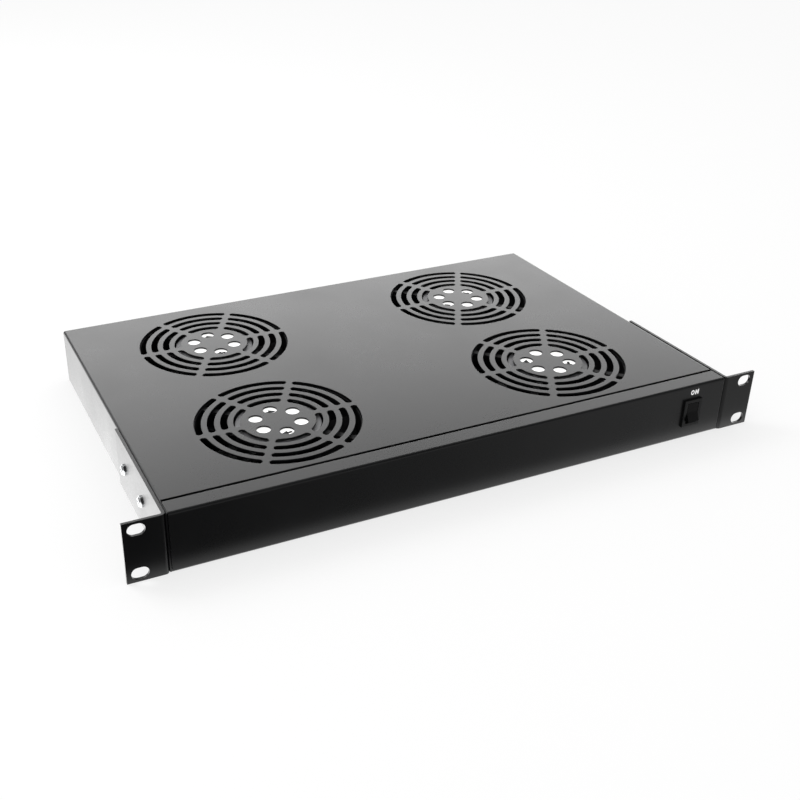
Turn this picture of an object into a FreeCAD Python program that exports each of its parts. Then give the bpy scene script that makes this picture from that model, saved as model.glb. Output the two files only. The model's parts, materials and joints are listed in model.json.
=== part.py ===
import FreeCAD, Part
import math
import os

import Sketcher
from FreeCAD import Rotation, Vector

# Rack fan tray: a 1U, 19 inch tray that blows air upwards through four axial fans.
#
# Frame: millimetres, X to the right, Y to the rear, Z up. The origin is the middle of the rack
# ears' slot pattern, on the rear faces of the ears, where they meet the rack's rails.

SHEET_NAME = "Sizes"

SIZES = [
    # rack ears
    ("panel_height", 43.66, "height of a 1U front"),
    ("ear_span", 482.6, "overall width over the ears, 19 inch"),
    ("ear_reach", 27.3, "how far each ear stands out past the cover's side wall"),
    ("slot_edge", 8.74, "from an ear's tip to the middle of its rack slots"),
    ("slot_margin", 5.955, "from an ear's upper or lower edge to the middle of a slot"),
    ("rack_slot_length", 11.4, "length of a rack slot, along X"),
    ("rack_slot_width", 8.4, "width of a rack slot, along Z"),
    ("ear_gauge", 2.0, "thickness of the ear brackets"),
    ("ear_bend", 3.0, "outer radius of the ear's bend"),
    ("ear_flange", 113.0, "length of the ear's side flange"),
    ("ear_screw_first", 52.0, "first side screw, from the front face"),
    ("ear_screw_last", 19.0, "second side screw, from the flange's rear end"),
    # housing
    ("gauge", 1.2, "thickness of the housing's sheet"),
    ("fit_gap", 0.2, "clearance between nested walls"),
    ("bend", 2.0, "outer radius of the housing's bends"),
    ("front_return", 13.7, "depth of the flange over the front panel"),
    ("seam_gap", 2.4, "open seam between that flange and the cover"),
    ("wall_setback", 1.0, "the cover's side walls stop short of the front face"),
    ("pan_wall", 32.0, "height of the pan's side walls"),
    ("tab_width", 16.0, "width of a tab at the cover's rear edge"),
    ("tab_drop", 14.0, "drop of that tab"),
    ("tab_gap", 3.0, "from the inlet's flange to the nearer rear tab"),
    # grilles
    ("ring_start", 26.0, "inner radius of the innermost ring of slots"),
    ("ring_past", 0.8, "how far the outermost slots reach past the fan's duct"),
    ("ring_slot", 5.0, "width of a ring slot"),
    ("rib", 4.4, "width of the ribs between the ring slots"),
    ("slot_corner", 1.4, "bevel of a ring slot's corners"),
    ("hub_hole", 5.0, "radius of a hole over the fan's hub"),
    ("hub_circle", 16.0, "radius of the circle of those holes"),
    # fans
    ("fan_size", 119.6, "side of a fan's square frame"),
    ("front_room", 18.7, "from the front face to the first row of fans"),
    ("fan_row_gap", 16.0, "gap between the two rows of fans"),
    ("fan_rear_gap", 9.9, "gap between the rear row and the rear wall"),
    ("fan_side_gap", 2.2, "gap between the rear fan and the mains inlet's body, along X"),
    ("fan_headroom", 0.76, "gap between a fan and the cover"),
    ("gasket_thick", 2.5, "rubber gasket between the pan and a fan"),
    ("fan_corner", 6.0, "corner radius of a fan's frame"),
    ("fan_hole_inset", 7.3, "from a frame's side to its fixing holes"),
    ("fan_flange", 5.0, "thickness of a frame's lower and upper flange"),
    ("duct_wall", 2.6, "from a frame's side to its round duct"),
    ("duct_skin", 2.0, "wall of the duct between the flanges"),
    ("intake_lip", 1.2, "how much smaller than the duct the pan's opening is, in radius"),
    ("motor_base", 30.0, "radius of the motor's fixed base"),
    ("motor_base_thick", 2.8, "thickness of that base"),
    ("strut_width", 5.0, "width of the struts that carry the base"),
    ("hub", 29.4, "outer radius of the impeller's hub"),
    ("hub_wall", 1.6, "thickness of the hub's wall"),
    ("hub_gap", 1.0, "running gap between the hub and the fixed base"),
    ("hub_floor", 4.0, "the hub's face, from the intake side"),
    ("blade_tip_gap", 1.0, "running gap between the blades and the duct"),
    ("blade_sweep", 43.0, "a blade's run round the axis, at its tip"),
    ("blade_rise", 22.0, "height of a blade at its tip"),
    ("blade_taper", 0.62, "size of a blade's section in the hub, as a share of that at its tip"),
    ("blade_thick", 1.8, "height of a blade's section at its two edges, at the tip"),
    ("blade_belly", 2.4, "height of that section at its crest"),
    ("blade_bow", 3.0, "how far that crest is bowed down"),
    ("blade_crest", 0.1, "how far the crest lies past the middle, as a share of half the sweep"),
    ("shaft", 1.6, "radius of the impeller's shaft"),
    ("shaft_play", 0.04, "radial running clearance of the shaft"),
    ("bearing_wall", 2.4, "wall of the sleeve bearing"),
    ("bearing_tube_wall", 1.6, "wall of the tube that holds the bearing"),
    ("stator_gap", 1.2, "air gap between the stator and the rotor ring"),
    ("rotor_ring", 3.0, "thickness of the steel rotor ring"),
    ("hub_boss", 3.0, "height of the boss that holds the shaft"),
    ("label_radius", 23.5, "radius of the disc on the motor's base"),
    ("label_thick", 0.3, "thickness of that disc"),
    # switch
    ("switch_shift", 1.0, "the switch's middle lies so far left of the inlet's middle"),
    ("bezel_width", 15.6, "width of the switch's bezel"),
    ("bezel_height", 21.6, "height of the bezel"),
    ("bezel_thick", 1.8, "how far the bezel stands out"),
    ("switch_width", 13.0, "width of the switch's body"),
    ("switch_height", 19.0, "height of the body"),
    ("switch_depth", 15.0, "depth of the body behind the panel"),
    ("rocker_width", 9.6, "width of the rocker"),
    ("rocker_height", 14.4, "height of the rocker"),
    ("rocker_play", 0.35, "clearance round the rocker"),
    ("rocker_tilt", 12.0, "tilt of the rocker at either stop, in degrees"),
    ("rocker_sink", 3.6, "depth of the rocker's pivot behind the bezel's face"),
    ("rocker_lip", 0.7, "how far the rocker's ends stand out past its pivot"),
    ("rocker_toe", 2.2, "reach of the rocker's foot behind its pivot, and half the foot's height"),
    ("blade_pitch", 6.1, "distance between two terminal blades"),
    ("blade_width", 4.8, "width of a terminal blade"),
    ("blade_gauge", 0.8, "thickness of a terminal blade"),
    ("blade_length", 8.0, "length of a terminal blade"),
    ("pivot", 1.2, "radius of the rocker's pivot pins"),
    ("pivot_play", 0.05, "radial clearance of those pins"),
    # mains inlet
    ("inlet_edge", 0.4, "from the pan's right wall to the inlet's flange, along X"),
    ("inlet_flange_width", 50.0, "width of the inlet's flange"),
    ("inlet_flange_height", 24.0, "height of the flange"),
    ("inlet_flange_thick", 2.5, "thickness of the flange"),
    ("inlet_width", 27.2, "width of the inlet's body"),
    ("inlet_height", 19.8, "height of the body"),
    ("inlet_depth", 22.0, "depth of the body behind the rear wall"),
    ("socket_width", 24.4, "width of the inlet's socket"),
    ("socket_height", 16.6, "height of the socket"),
    ("socket_depth", 18.0, "depth of the socket"),
    ("socket_key", 4.5, "bevel of the socket's two upper corners"),
    ("inlet_corner", 6.0, "corner radius of the inlet's flange"),
    ("pin_pitch", 7.0, "distance of the outer pins from the middle one"),
    ("pin_rise", 4.0, "height of the middle pin over the outer ones"),
    ("pin_thick", 2.0, "thickness of a pin"),
    ("pin_wide", 4.0, "height of a pin"),
    ("pin_recess", 2.6, "how far the pins' tips lie inside the mouth"),
    ("inlet_screws", 40.0, "spacing of the inlet's two screws"),
    # leads and terminal block
    ("core", 1.2, "radius of a single lead"),
    ("fan_lead", 1.5, "radius of a fan's lead"),
    ("lead_turn", 3.5, "radius of a lead's bends, along its middle"),
    ("lead_straight", 1.0, "shortest straight run between two of its bends"),
    ("fan_lead_in", 50.0, "a fan's lead leaves the frame so far from the fan's axis, along X"),
    ("block_width", 16.0, "width of the terminal block"),
    ("block_length", 44.0, "length of the terminal block"),
    ("block_height", 14.0, "height of the terminal block"),
    ("block_gap", 3.0, "from the terminal block to the live lead's middle"),
    ("block_well", 2.2, "radius of the block's screw wells"),
    ("block_well_deep", 6.0, "depth of those wells"),
    ("block_pitch", 13.0, "distance between two poles of the block"),
    ("earth_run", 9.0, "the earth lead's run behind the inlet"),
    ("core_run", 17.0, "the other leads' run behind the inlet"),
    ("switch_run", 31.0, "the switched lead's run behind the switch"),
    ("live_run", 19.0, "the live lead's run behind the switch"),
    ("tag_width", 6.0, "width of the earth lead's ring tag"),
    ("tag_length", 20.0, "length of that tag"),
    ("tag_thick", 0.8, "thickness of that tag"),
    ("stud_height", 7.0, "height of the earth stud over the floor"),
    # fasteners
    ("screw", 2.0, "radius of an M4 screw"),
    ("screw_hole", 2.2, "radius of its clearance hole"),
    ("head", 4.0, "radius of an M4 pan head"),
    ("head_height", 2.4, "height of that head"),
    ("sunk_head", 3.6, "radius of a countersunk head"),
    ("nut_width", 7.0, "width of a nut across its flats"),
    ("nut_height", 3.0, "height of a nut"),
    ("fan_screw", 9.0, "reach of a fan's screw past the pan's floor"),
    ("recess_arm", 0.6, "reach of a screw head's cross recess, as a share of its radius"),
    ("recess_width", 0.26, "width of that cross, as a share of the head's radius"),
    ("recess_depth", 1.3, "depth of that cross"),
    ("small_screw", 1.5, "radius of an M3 screw"),
    ("small_hole", 1.65, "radius of its clearance hole"),
    ("small_head", 2.9, "radius of an M3 head"),
    ("small_head_height", 1.8, "height of that head"),
    ("small_nut_width", 5.5, "width of an M3 nut across its flats"),
    ("small_nut_height", 2.4, "height of an M3 nut"),
]

GRILLE_RINGS = 4
GRILLE_RIBS = 3
HUB_HOLES = 6
BLADES = 5
STRUTS = 4
LEFT, RIGHT = -1, 1
CORNERS = [(-1, -1), (1, -1), (1, 1), (-1, 1)]
NEAR = 0.01


class Size:
    """A number and the spreadsheet formula that it comes from."""

    def __init__(self, value, formula):
        self.value = float(value)
        self.formula = formula

    def __float__(self):
        return self.value

    def __add__(self, other):
        other = as_size(other)
        return Size(self.value + other.value, f"({self.formula} + {other.formula})")

    def __radd__(self, other):
        return as_size(other) + self

    def __sub__(self, other):
        other = as_size(other)
        return Size(self.value - other.value, f"({self.formula} - {other.formula})")

    def __rsub__(self, other):
        return as_size(other) - self

    def __mul__(self, other):
        other = as_size(other)
        return Size(self.value * other.value, f"({self.formula} * {other.formula})")

    def __rmul__(self, other):
        return as_size(other) * self

    def __truediv__(self, other):
        other = as_size(other)
        return Size(self.value / other.value, f"({self.formula} / {other.formula})")

    def __neg__(self):
        return as_size(0) - self


def as_size(value):
    """Takes a plain number as a size with no cell behind it."""
    return value if isinstance(value, Size) else Size(value, f"({float(value)!r})")


def sine(degrees):
    """The sine of an angle in degrees, as a size."""
    degrees = as_size(degrees)
    return Size(math.sin(math.radians(degrees.value)), f"sin({degrees.formula})")


def cosine(degrees):
    """The cosine of an angle in degrees, as a size."""
    degrees = as_size(degrees)
    return Size(math.cos(math.radians(degrees.value)), f"cos({degrees.formula})")


def on_circle(radius, degrees):
    """The point at an angle on a circle round the origin, as two sizes."""
    return radius * cosine(degrees), radius * sine(degrees)


class Sizes:
    """The driving dimensions, each read as an attribute with its cell's name."""


def make_sheet(doc):
    """Writes the driving dimensions into the document's spreadsheet."""
    sheet = doc.addObject("Spreadsheet::Sheet", SHEET_NAME)
    sizes = Sizes()
    for row, (alias, value, meaning) in enumerate(SIZES, start=1):
        sheet.set(f"A{row}", alias)
        sheet.set(f"B{row}", str(value))
        sheet.set(f"C{row}", meaning)
        sheet.setAlias(f"B{row}", alias)
        setattr(sizes, alias, Size(value, f"{SHEET_NAME}.{alias}"))
    doc.recompute()
    return sizes


doc = FreeCAD.newDocument("fan_tray")
s = make_sheet(doc)

# Faces of the housing that several pieces share.
TOP = s.panel_height / 2
BOTTOM = -TOP
FRONT = -s.ear_gauge
HALF_BODY = s.ear_span / 2 - s.ear_reach
INSIDE_COVER = HALF_BODY - s.gauge
HALF_PAN = INSIDE_COVER - s.fit_gap
WALL_INSIDE = HALF_PAN - s.gauge
FLOOR = BOTTOM + s.gauge
SEAT = FLOOR + s.gasket_thick
SEAM_REAR = FRONT + s.front_return + s.seam_gap

# The fans set the tray's depth, and the parts along its right wall set the fans' columns.
INLET_X = WALL_INSIDE - s.inlet_edge - s.inlet_flange_width / 2
SWITCH_X = INLET_X - s.switch_shift
FAN_X = INLET_X - s.inlet_width / 2 - s.fan_side_gap - s.fan_size / 2
FRONT_ROW = FRONT + s.front_room + s.fan_size / 2
REAR_ROW = FRONT_ROW + s.fan_size + s.fan_row_gap
REAR_INSIDE = REAR_ROW + s.fan_size / 2 + s.fan_rear_gap
REAR = REAR_INSIDE + s.gauge
FAN_HEIGHT = TOP - s.gauge - s.fan_headroom - SEAT
FAN_HOLES = s.fan_size / 2 - s.fan_hole_inset
DUCT = s.fan_size / 2 - s.duct_wall
INTAKE = DUCT - s.intake_lip
FANS = [
    ("fan1", -FAN_X, FRONT_ROW),
    ("fan2", FAN_X, FRONT_ROW),
    ("fan3", -FAN_X, REAR_ROW),
    ("fan4", FAN_X, REAR_ROW),
]


# ---------------------------------------------------------------- helpers


def bind(thing, prop, size):
    """Ties a property of a document object to a size."""
    thing.setExpression(prop, as_size(size).formula)


def place(thing, x=0, y=0, z=0):
    """Ties an object's position to three sizes."""
    for name, size in (("x", x), ("y", y), ("z", z)):
        bind(thing, f"Placement.Base.{name}", size)
    return thing


def box(name, x, y, z):
    """A block between two x, two y and two z faces."""
    thing = doc.addObject("Part::Box", name)
    bind(thing, "Length", as_size(x[1]) - x[0])
    bind(thing, "Width", as_size(y[1]) - y[0])
    bind(thing, "Height", as_size(z[1]) - z[0])
    return place(thing, x[0], y[0], z[0])


def cylinder(name, radius, height, x=0, y=0, z=0, turn=None):
    """A cylinder from a point along +Z, or along the axis that turn gives."""
    thing = doc.addObject("Part::Cylinder", name)
    bind(thing, "Radius", radius)
    bind(thing, "Height", height)
    if turn is not None:
        thing.Placement.Rotation = turn
    return place(thing, x, y, z)


def cone(name, start, end, height, x=0, y=0, z=0):
    """A cone frustum from a point along +Z."""
    thing = doc.addObject("Part::Cone", name)
    bind(thing, "Radius1", start)
    bind(thing, "Radius2", end)
    bind(thing, "Height", height)
    return place(thing, x, y, z)


def prism(name, sides, radius, height, x=0, y=0, z=0, turn=None):
    """A regular prism from a point along +Z, or along the axis that turn gives."""
    thing = doc.addObject("Part::Prism", name)
    thing.Polygon = sides
    bind(thing, "Circumradius", radius)
    bind(thing, "Height", height)
    if turn is not None:
        thing.Placement.Rotation = turn
    return place(thing, x, y, z)


def fuse(name, pieces):
    """Joins solids that belong to one piece."""
    thing = doc.addObject("Part::MultiFuse", name)
    thing.Shapes = pieces
    thing.Refine = True
    return thing


def cut(name, base, tools):
    """Takes the tools out of the base."""
    thing = doc.addObject("Part::Cut", name)
    thing.Base = base
    thing.Tool = tools[0] if len(tools) == 1 else fuse(f"{name}_tools", tools)
    thing.Refine = True
    return thing


def group(name, pieces):
    """Holds several separate solids as one sub-part."""
    thing = doc.addObject("Part::Compound", name)
    thing.Links = pieces
    return thing


def turned(thing, degrees):
    """Turns a solid about the Z axis through the origin."""
    holder = group(f"{thing.Name}_turned", [thing])
    holder.Placement.Rotation = Rotation(Vector(0, 0, 1), degrees)
    return holder


def along(axis):
    """The turn that takes +Z to a direction."""
    return Rotation(Vector(0, 0, 1), axis)


def meets(value, size):
    """Whether a coordinate lies on a face, within the modeller's own tolerance."""
    return math.isclose(value, float(size), abs_tol=NEAR)


def edges_where(shape, test):
    """The numbers of a shape's edges whose middle and direction pass a test."""
    found = []
    for number, edge in enumerate(shape.Edges, start=1):
        ends = [vertex.Point for vertex in edge.Vertexes]
        if len(ends) == 2 and test((ends[0] + ends[1]) / 2, ends[1] - ends[0]):
            found.append(number)
    return found


def soften(name, base, kind, size, test):
    """Fillets or chamfers the base's edges that pass a test."""
    doc.recompute()
    thing = doc.addObject(kind, name)
    thing.Base = base
    reach = float(size)
    thing.Edges = [(number, reach, reach) for number in edges_where(base.Shape, test)]
    return thing


def new_body(name):
    """A PartDesign body, named after its sub-part."""
    body = doc.addObject("PartDesign::Body", name)
    body.Label = name
    return body


def sketch_on(body, name, role, offset=0):
    """A sketch on one of the body's own origin planes, moved along the plane's normal."""
    sketch = body.newObject("Sketcher::SketchObject", name)
    plane = [f for f in body.Origin.OriginFeatures if f.Role == role][0]
    sketch.AttachmentSupport = [(plane, "")]
    sketch.MapMode = "FlatFace"
    bind(sketch, "AttachmentOffset.Base.z", offset)
    return sketch


def pin_point(sketch, geometry, point, where):
    """Fixes a point of a sketch at two sizes from the origin."""
    for kind, axis, size in (("DistanceX", -2, where[0]), ("DistanceY", -1, where[1])):
        size = as_size(size)
        if abs(size.value) < 1e-9:
            sketch.addConstraint(Sketcher.Constraint("PointOnObject", geometry, point, axis))
            continue
        number = sketch.addConstraint(
            Sketcher.Constraint(kind, -1, 1, geometry, point, size.value)
        )
        sketch.setExpression(f"Constraints[{number}]", size.formula)


def polygon(sketch, points):
    """A closed outline through points, each fixed at two sizes."""
    flat = [Vector(float(x), float(y), 0) for x, y in points]
    first = sketch.GeometryCount
    count = len(points)
    for i in range(count):
        sketch.addGeometry(Part.LineSegment(flat[i], flat[(i + 1) % count]), False)
    for i in range(count):
        following = first + (i + 1) % count
        sketch.addConstraint(Sketcher.Constraint("Coincident", first + i, 2, following, 1))
    for i in range(count):
        pin_point(sketch, first + i, 1, points[i])


def rectangle(sketch, x, y):
    """A rectangle between two x and two y sizes."""
    polygon(sketch, [(x[0], y[0]), (x[1], y[0]), (x[1], y[1]), (x[0], y[1])])


def circle(sketch, x, y, radius):
    """A circle with its middle and radius fixed by sizes."""
    radius = as_size(radius)
    middle = Vector(float(x), float(y), 0)
    number = sketch.addGeometry(Part.Circle(middle, Vector(0, 0, 1), radius.value), False)
    pin_point(sketch, number, 3, (x, y))
    bound = sketch.addConstraint(Sketcher.Constraint("Radius", number, radius.value))
    sketch.setExpression(f"Constraints[{bound}]", radius.formula)


def obround(sketch, x, y, length, width):
    """A slot with round ends, its length along the sketch's x."""
    length = as_size(length)
    width = as_size(width)
    reach = (length - width) / 2
    radius = width / 2
    low, high = as_size(y) - radius, as_size(y) + radius
    left, right = as_size(x) - reach, as_size(x) + reach
    normal = Vector(0, 0, 1)
    first = sketch.GeometryCount
    middle = float(y)
    sketch.addGeometry(
        Part.LineSegment(Vector(left.value, low.value, 0), Vector(right.value, low.value, 0)), False
    )
    end = Part.Circle(Vector(right.value, middle, 0), normal, radius.value)
    sketch.addGeometry(Part.ArcOfCircle(end, -math.pi / 2, math.pi / 2), False)
    sketch.addGeometry(
        Part.LineSegment(Vector(right.value, high.value, 0), Vector(left.value, high.value, 0)), False
    )
    end = Part.Circle(Vector(left.value, middle, 0), normal, radius.value)
    sketch.addGeometry(Part.ArcOfCircle(end, math.pi / 2, 3 * math.pi / 2), False)
    for near, far, start in ((0, 1, 1), (1, 2, 1), (2, 3, 1), (3, 0, 1)):
        tangent = Sketcher.Constraint("Tangent", first + near, 2, first + far, start)
        sketch.addConstraint(tangent)
    pin_point(sketch, first, 1, (left, low))
    pin_point(sketch, first + 1, 3, (right, y))


def pad(body, name, sketch, length, middle=False, reverse=False):
    """Pads a sketch by a length, to one side or to both."""
    feature = body.newObject("PartDesign::Pad", name)
    feature.Profile = sketch
    bind(feature, "Length", length)
    feature.Midplane = middle
    feature.Reversed = reverse
    return feature


def pocket(body, name, sketch):
    """Cuts a sketch right through the body, both ways."""
    feature = body.newObject("PartDesign::Pocket", name)
    feature.Profile = sketch
    feature.Type = "ThroughAll"
    feature.Midplane = True
    return feature


def sink(body, name, sketch, depth):
    """Cuts a sketch into a body to a depth, towards +Z."""
    feature = body.newObject("PartDesign::Pocket", name)
    feature.Profile = sketch
    bind(feature, "Length", depth)
    feature.Reversed = True
    return feature


def round_edges(body, name, radius, test):
    """Fillets the body's edges that pass a test."""
    doc.recompute()
    solid = body.Tip
    edges = [f"Edge{number}" for number in edges_where(solid.Shape, test)]
    feature = body.newObject("PartDesign::Fillet", name)
    feature.Base = (solid, edges)
    bind(feature, "Radius", radius)
    return feature


def revolve(body, name, sketch, kind="PartDesign::Revolution"):
    """Turns a sketch on the XZ plane once round the body's Z axis."""
    feature = body.newObject(kind, name)
    feature.Profile = sketch
    feature.ReferenceAxis = (sketch, ["V_Axis"])
    feature.Angle = 360
    return feature


# ---------------------------------------------------------------- housing

FORWARD = along(Vector(0, -1, 0))
BACKWARD = along(Vector(0, 1, 0))
PAST = 1.0
FLANGE_END = FRONT + s.ear_flange
EAR_SCREWS = [FRONT + s.ear_screw_first, FLANGE_END - s.ear_screw_last]
TAB_X = INLET_X - s.inlet_flange_width / 2 - s.tab_gap - s.tab_width / 2
TABS = [(LEFT, -TAB_X), (RIGHT, TAB_X)]
TAB_SCREW = TOP - s.gauge - s.tab_drop / 2
INLET_SCREWS = [INLET_X - s.inlet_screws / 2, INLET_X + s.inlet_screws / 2]


def fan_corners():
    """The sixteen points where a fan's fixing hole meets the pan's floor."""
    for fan, x, y in FANS:
        for number, (across, deep) in enumerate(CORNERS, start=1):
            yield f"{fan}_{number}", x + FAN_HOLES * across, y + FAN_HOLES * deep


def side_holes(name, side, inside, outside, radius):
    """Two cylinders across a side wall, at the ear's screws."""
    holes = []
    start = inside * side
    turn = along(Vector(side, 0, 0))
    for number, y in enumerate(EAR_SCREWS, start=1):
        holes.append(
            cylinder(f"{name}_{number}", radius, outside - inside, start, y, 0, turn)
        )
    return holes


def make_pan():
    """The folded tray: floor, front panel with its return, rear wall and low side walls."""
    across = (-HALF_PAN, HALF_PAN)
    sheets = [
        box("pan_floor", across, (FRONT, REAR), (BOTTOM, FLOOR)),
        box("pan_front", across, (FRONT, FRONT + s.gauge), (BOTTOM, TOP)),
        box("pan_return", across, (FRONT, FRONT + s.front_return), (TOP - s.gauge, TOP)),
        box("pan_rear", across, (REAR_INSIDE, REAR), (BOTTOM, TOP - s.gauge - s.fit_gap)),
        box("pan_left", (-HALF_PAN, -HALF_PAN + s.gauge), (FRONT, REAR), (BOTTOM, BOTTOM + s.pan_wall)),
        box("pan_right", (HALF_PAN - s.gauge, HALF_PAN), (FRONT, REAR), (BOTTOM, BOTTOM + s.pan_wall)),
    ]
    folded = fuse("pan_folded", sheets)

    def is_bend(middle, run):
        at_front = meets(middle.y, FRONT) and (meets(middle.z, BOTTOM) or meets(middle.z, TOP))
        at_rear = meets(middle.y, REAR) and meets(middle.z, BOTTOM)
        return abs(run.x) > float(HALF_PAN) and (at_front or at_rear)

    bent = soften("pan_bent", folded, "Part::Fillet", s.bend, is_bend)
    low = BOTTOM - PAST
    through = s.gauge + 2 * PAST
    tools = []
    for fan, x, y in FANS:
        tools.append(cylinder(f"pan_intake_{fan}", INTAKE, through, x, y, low))
    for corner, x, y in fan_corners():
        tools.append(cone(f"pan_sink_{corner}", s.sunk_head, s.screw, s.gauge, x, y, BOTTOM))
    for side in (LEFT, RIGHT):
        tools += side_holes(f"pan_ear_hole_{side}", side, HALF_PAN - 2 * s.gauge, HALF_BODY, s.screw_hole)
    half_switch = (s.switch_width + s.fit_gap) / 2, (s.switch_height + s.fit_gap) / 2
    tools.append(
        box(
            "pan_switch_hole",
            (SWITCH_X - half_switch[0], SWITCH_X + half_switch[0]),
            (FRONT - PAST, FRONT + s.gauge + PAST),
            (-half_switch[1], half_switch[1]),
        )
    )
    half_inlet = (s.inlet_width + s.fit_gap) / 2, (s.inlet_height + s.fit_gap) / 2
    tools.append(
        box(
            "pan_inlet_hole",
            (INLET_X - half_inlet[0], INLET_X + half_inlet[0]),
            (REAR_INSIDE - PAST, REAR + PAST),
            (-half_inlet[1], half_inlet[1]),
        )
    )
    start = REAR_INSIDE - PAST
    for number, x in enumerate(INLET_SCREWS, start=1):
        tools.append(cylinder(f"pan_inlet_screw_{number}", s.small_hole, through, x, start, 0, BACKWARD))
    for side, x in TABS:
        tools.append(
            cylinder(f"pan_tab_screw_{side}", s.small_hole, through, x, start, TAB_SCREW, BACKWARD)
        )
    return cut("base_pan", bent, tools)


def make_grille(fan, x, y):
    """The slots and holes of one grille, as one tool to cut the cover with."""
    low = TOP - s.gauge - PAST
    height = s.gauge + 2 * PAST
    pitch = (DUCT + s.ring_past - s.ring_slot - s.ring_start) / (GRILLE_RINGS - 1)
    rings = []
    for number in range(GRILLE_RINGS):
        inner = s.ring_start + pitch * number
        disc = cylinder(f"{fan}_ring_outer_{number}", inner + s.ring_slot, height)
        core = cylinder(f"{fan}_ring_inner_{number}", inner, height)
        rings.append(cut(f"{fan}_ring_{number}", disc, [core]))
    reach = DUCT + s.ring_slot
    ribs = []
    for number in range(GRILLE_RIBS):
        bar = box(f"{fan}_rib_bar_{number}", (-reach, reach), (-s.rib / 2, s.rib / 2), (0, height))
        ribs.append(turned(bar, 180 * number / GRILLE_RIBS))
    sectors = cut(f"{fan}_sectors", fuse(f"{fan}_rings", rings), ribs)

    def is_corner(middle, run):
        return abs(run.z) > float(s.gauge)

    slots = soften(f"{fan}_slots", sectors, "Part::Chamfer", s.slot_corner, is_corner)
    holes = [slots]
    for number in range(HUB_HOLES):
        angle = 360 * (number + 0.5) / HUB_HOLES
        across, deep = on_circle(s.hub_circle, angle)
        holes.append(cylinder(f"{fan}_hub_hole_{number}", s.hub_hole, height, across, deep))
    return place(fuse(f"{fan}_grille", holes), x, y, low)


def make_cover():
    """The folded cover: the top plate with its grilles, the side walls and the rear tabs."""
    wall_front = FRONT + s.wall_setback
    wall_low = BOTTOM + s.fit_gap
    block = box("cover_block", (-HALF_BODY, HALF_BODY), (wall_front, REAR), (wall_low, TOP))

    def is_bend(middle, run):
        return abs(run.y) > float(s.front_return) and meets(middle.z, TOP)

    bent = soften("cover_bent", block, "Part::Fillet", s.bend, is_bend)
    inside = (-INSIDE_COVER, INSIDE_COVER)
    long = (wall_front - PAST, REAR + PAST)
    hollow = box("cover_hollow", inside, long, (wall_low - PAST, TOP - s.gauge))
    notch = box("cover_notch", inside, (wall_front - PAST, SEAM_REAR), (TOP - 2 * s.gauge, TOP + PAST))
    shell = cut("cover_shell", bent, [hollow, notch])
    pieces = [shell]
    tab_rear = REAR_INSIDE - s.fit_gap
    tab_high = TOP - s.gauge / 2
    tab_low = TOP - s.gauge - s.tab_drop
    half = s.tab_width / 2
    tab_front = tab_rear - s.gauge
    for side, x in TABS:
        pieces.append(
            box(f"cover_tab_{side}", (x - half, x + half), (tab_front, tab_rear), (tab_low, tab_high))
        )
    tools = [make_grille(fan, x, y) for fan, x, y in FANS]
    for side in (LEFT, RIGHT):
        tools += side_holes(f"cover_ear_hole_{side}", side, HALF_PAN, HALF_BODY + PAST, s.screw_hole)
    for side, x in TABS:
        tools.append(
            cylinder(
                f"cover_tab_hole_{side}",
                s.small_hole,
                s.gauge + 2 * PAST,
                x,
                tab_front - PAST,
                TAB_SCREW,
                BACKWARD,
            )
        )
    return cut("top_cover", fuse("cover_folded", pieces), tools)


def make_ear(name, side):
    """One rack ear: an angle bracket with two rack slots and a flange along the side wall."""
    body = new_body(name)
    inner = HALF_BODY * side
    outer = (HALF_BODY + s.ear_gauge) * side
    tip = s.ear_span / 2 * side
    profile = sketch_on(body, f"{name}_profile", "XY_Plane")
    polygon(
        profile,
        [(inner, FRONT), (tip, FRONT), (tip, 0), (outer, 0), (outer, FLANGE_END), (inner, FLANGE_END)],
    )
    pad(body, f"{name}_pad", profile, s.panel_height, middle=True)
    round_edges(
        body,
        f"{name}_bend",
        s.ear_bend,
        lambda middle, run: meets(middle.x, inner) and meets(middle.y, FRONT),
    )
    round_edges(
        body,
        f"{name}_inside_bend",
        s.ear_bend - s.ear_gauge,
        lambda middle, run: meets(middle.x, outer) and meets(middle.y, 0),
    )
    slots = sketch_on(body, f"{name}_slots", "XZ_Plane")
    rise = TOP - s.slot_margin
    for z in (-rise, rise):
        obround(slots, tip - s.slot_edge * side, z, s.rack_slot_length, s.rack_slot_width)
    pocket(body, f"{name}_slot_cut", slots)
    holes = sketch_on(body, f"{name}_holes", "YZ_Plane")
    for y in EAR_SCREWS:
        circle(holes, y, 0, s.screw_hole)
    pocket(body, f"{name}_hole_cut", holes)
    return body


# ---------------------------------------------------------------- fasteners


def pan_head(name, radius, head, head_height, length, x, y, z, turn):
    """A screw with a bevelled head: the head stands on the point, and the shank runs on from it."""
    body = new_body(name)
    outline = sketch_on(body, f"{name}_outline", "XZ_Plane")
    bevel = head_height / 2
    polygon(
        outline,
        [
            (0, -head_height),
            (head - bevel, -head_height),
            (head, -bevel),
            (head, 0),
            (radius, 0),
            (radius, length),
            (0, length),
        ],
    )
    revolve(body, f"{name}_turned", outline)
    cross = sketch_on(body, f"{name}_cross", "XY_Plane", -head_height)
    arm = head * s.recess_arm
    half = head * s.recess_width / 2
    polygon(
        cross,
        [
            (half, half),
            (arm, half),
            (arm, -half),
            (half, -half),
            (half, -arm),
            (-half, -arm),
            (-half, -half),
            (-arm, -half),
            (-arm, half),
            (-half, half),
            (-half, arm),
            (half, arm),
        ],
    )
    sink(body, f"{name}_recess", cross, s.recess_depth)
    body.Placement.Rotation = turn
    return place(body, x, y, z)


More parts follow.
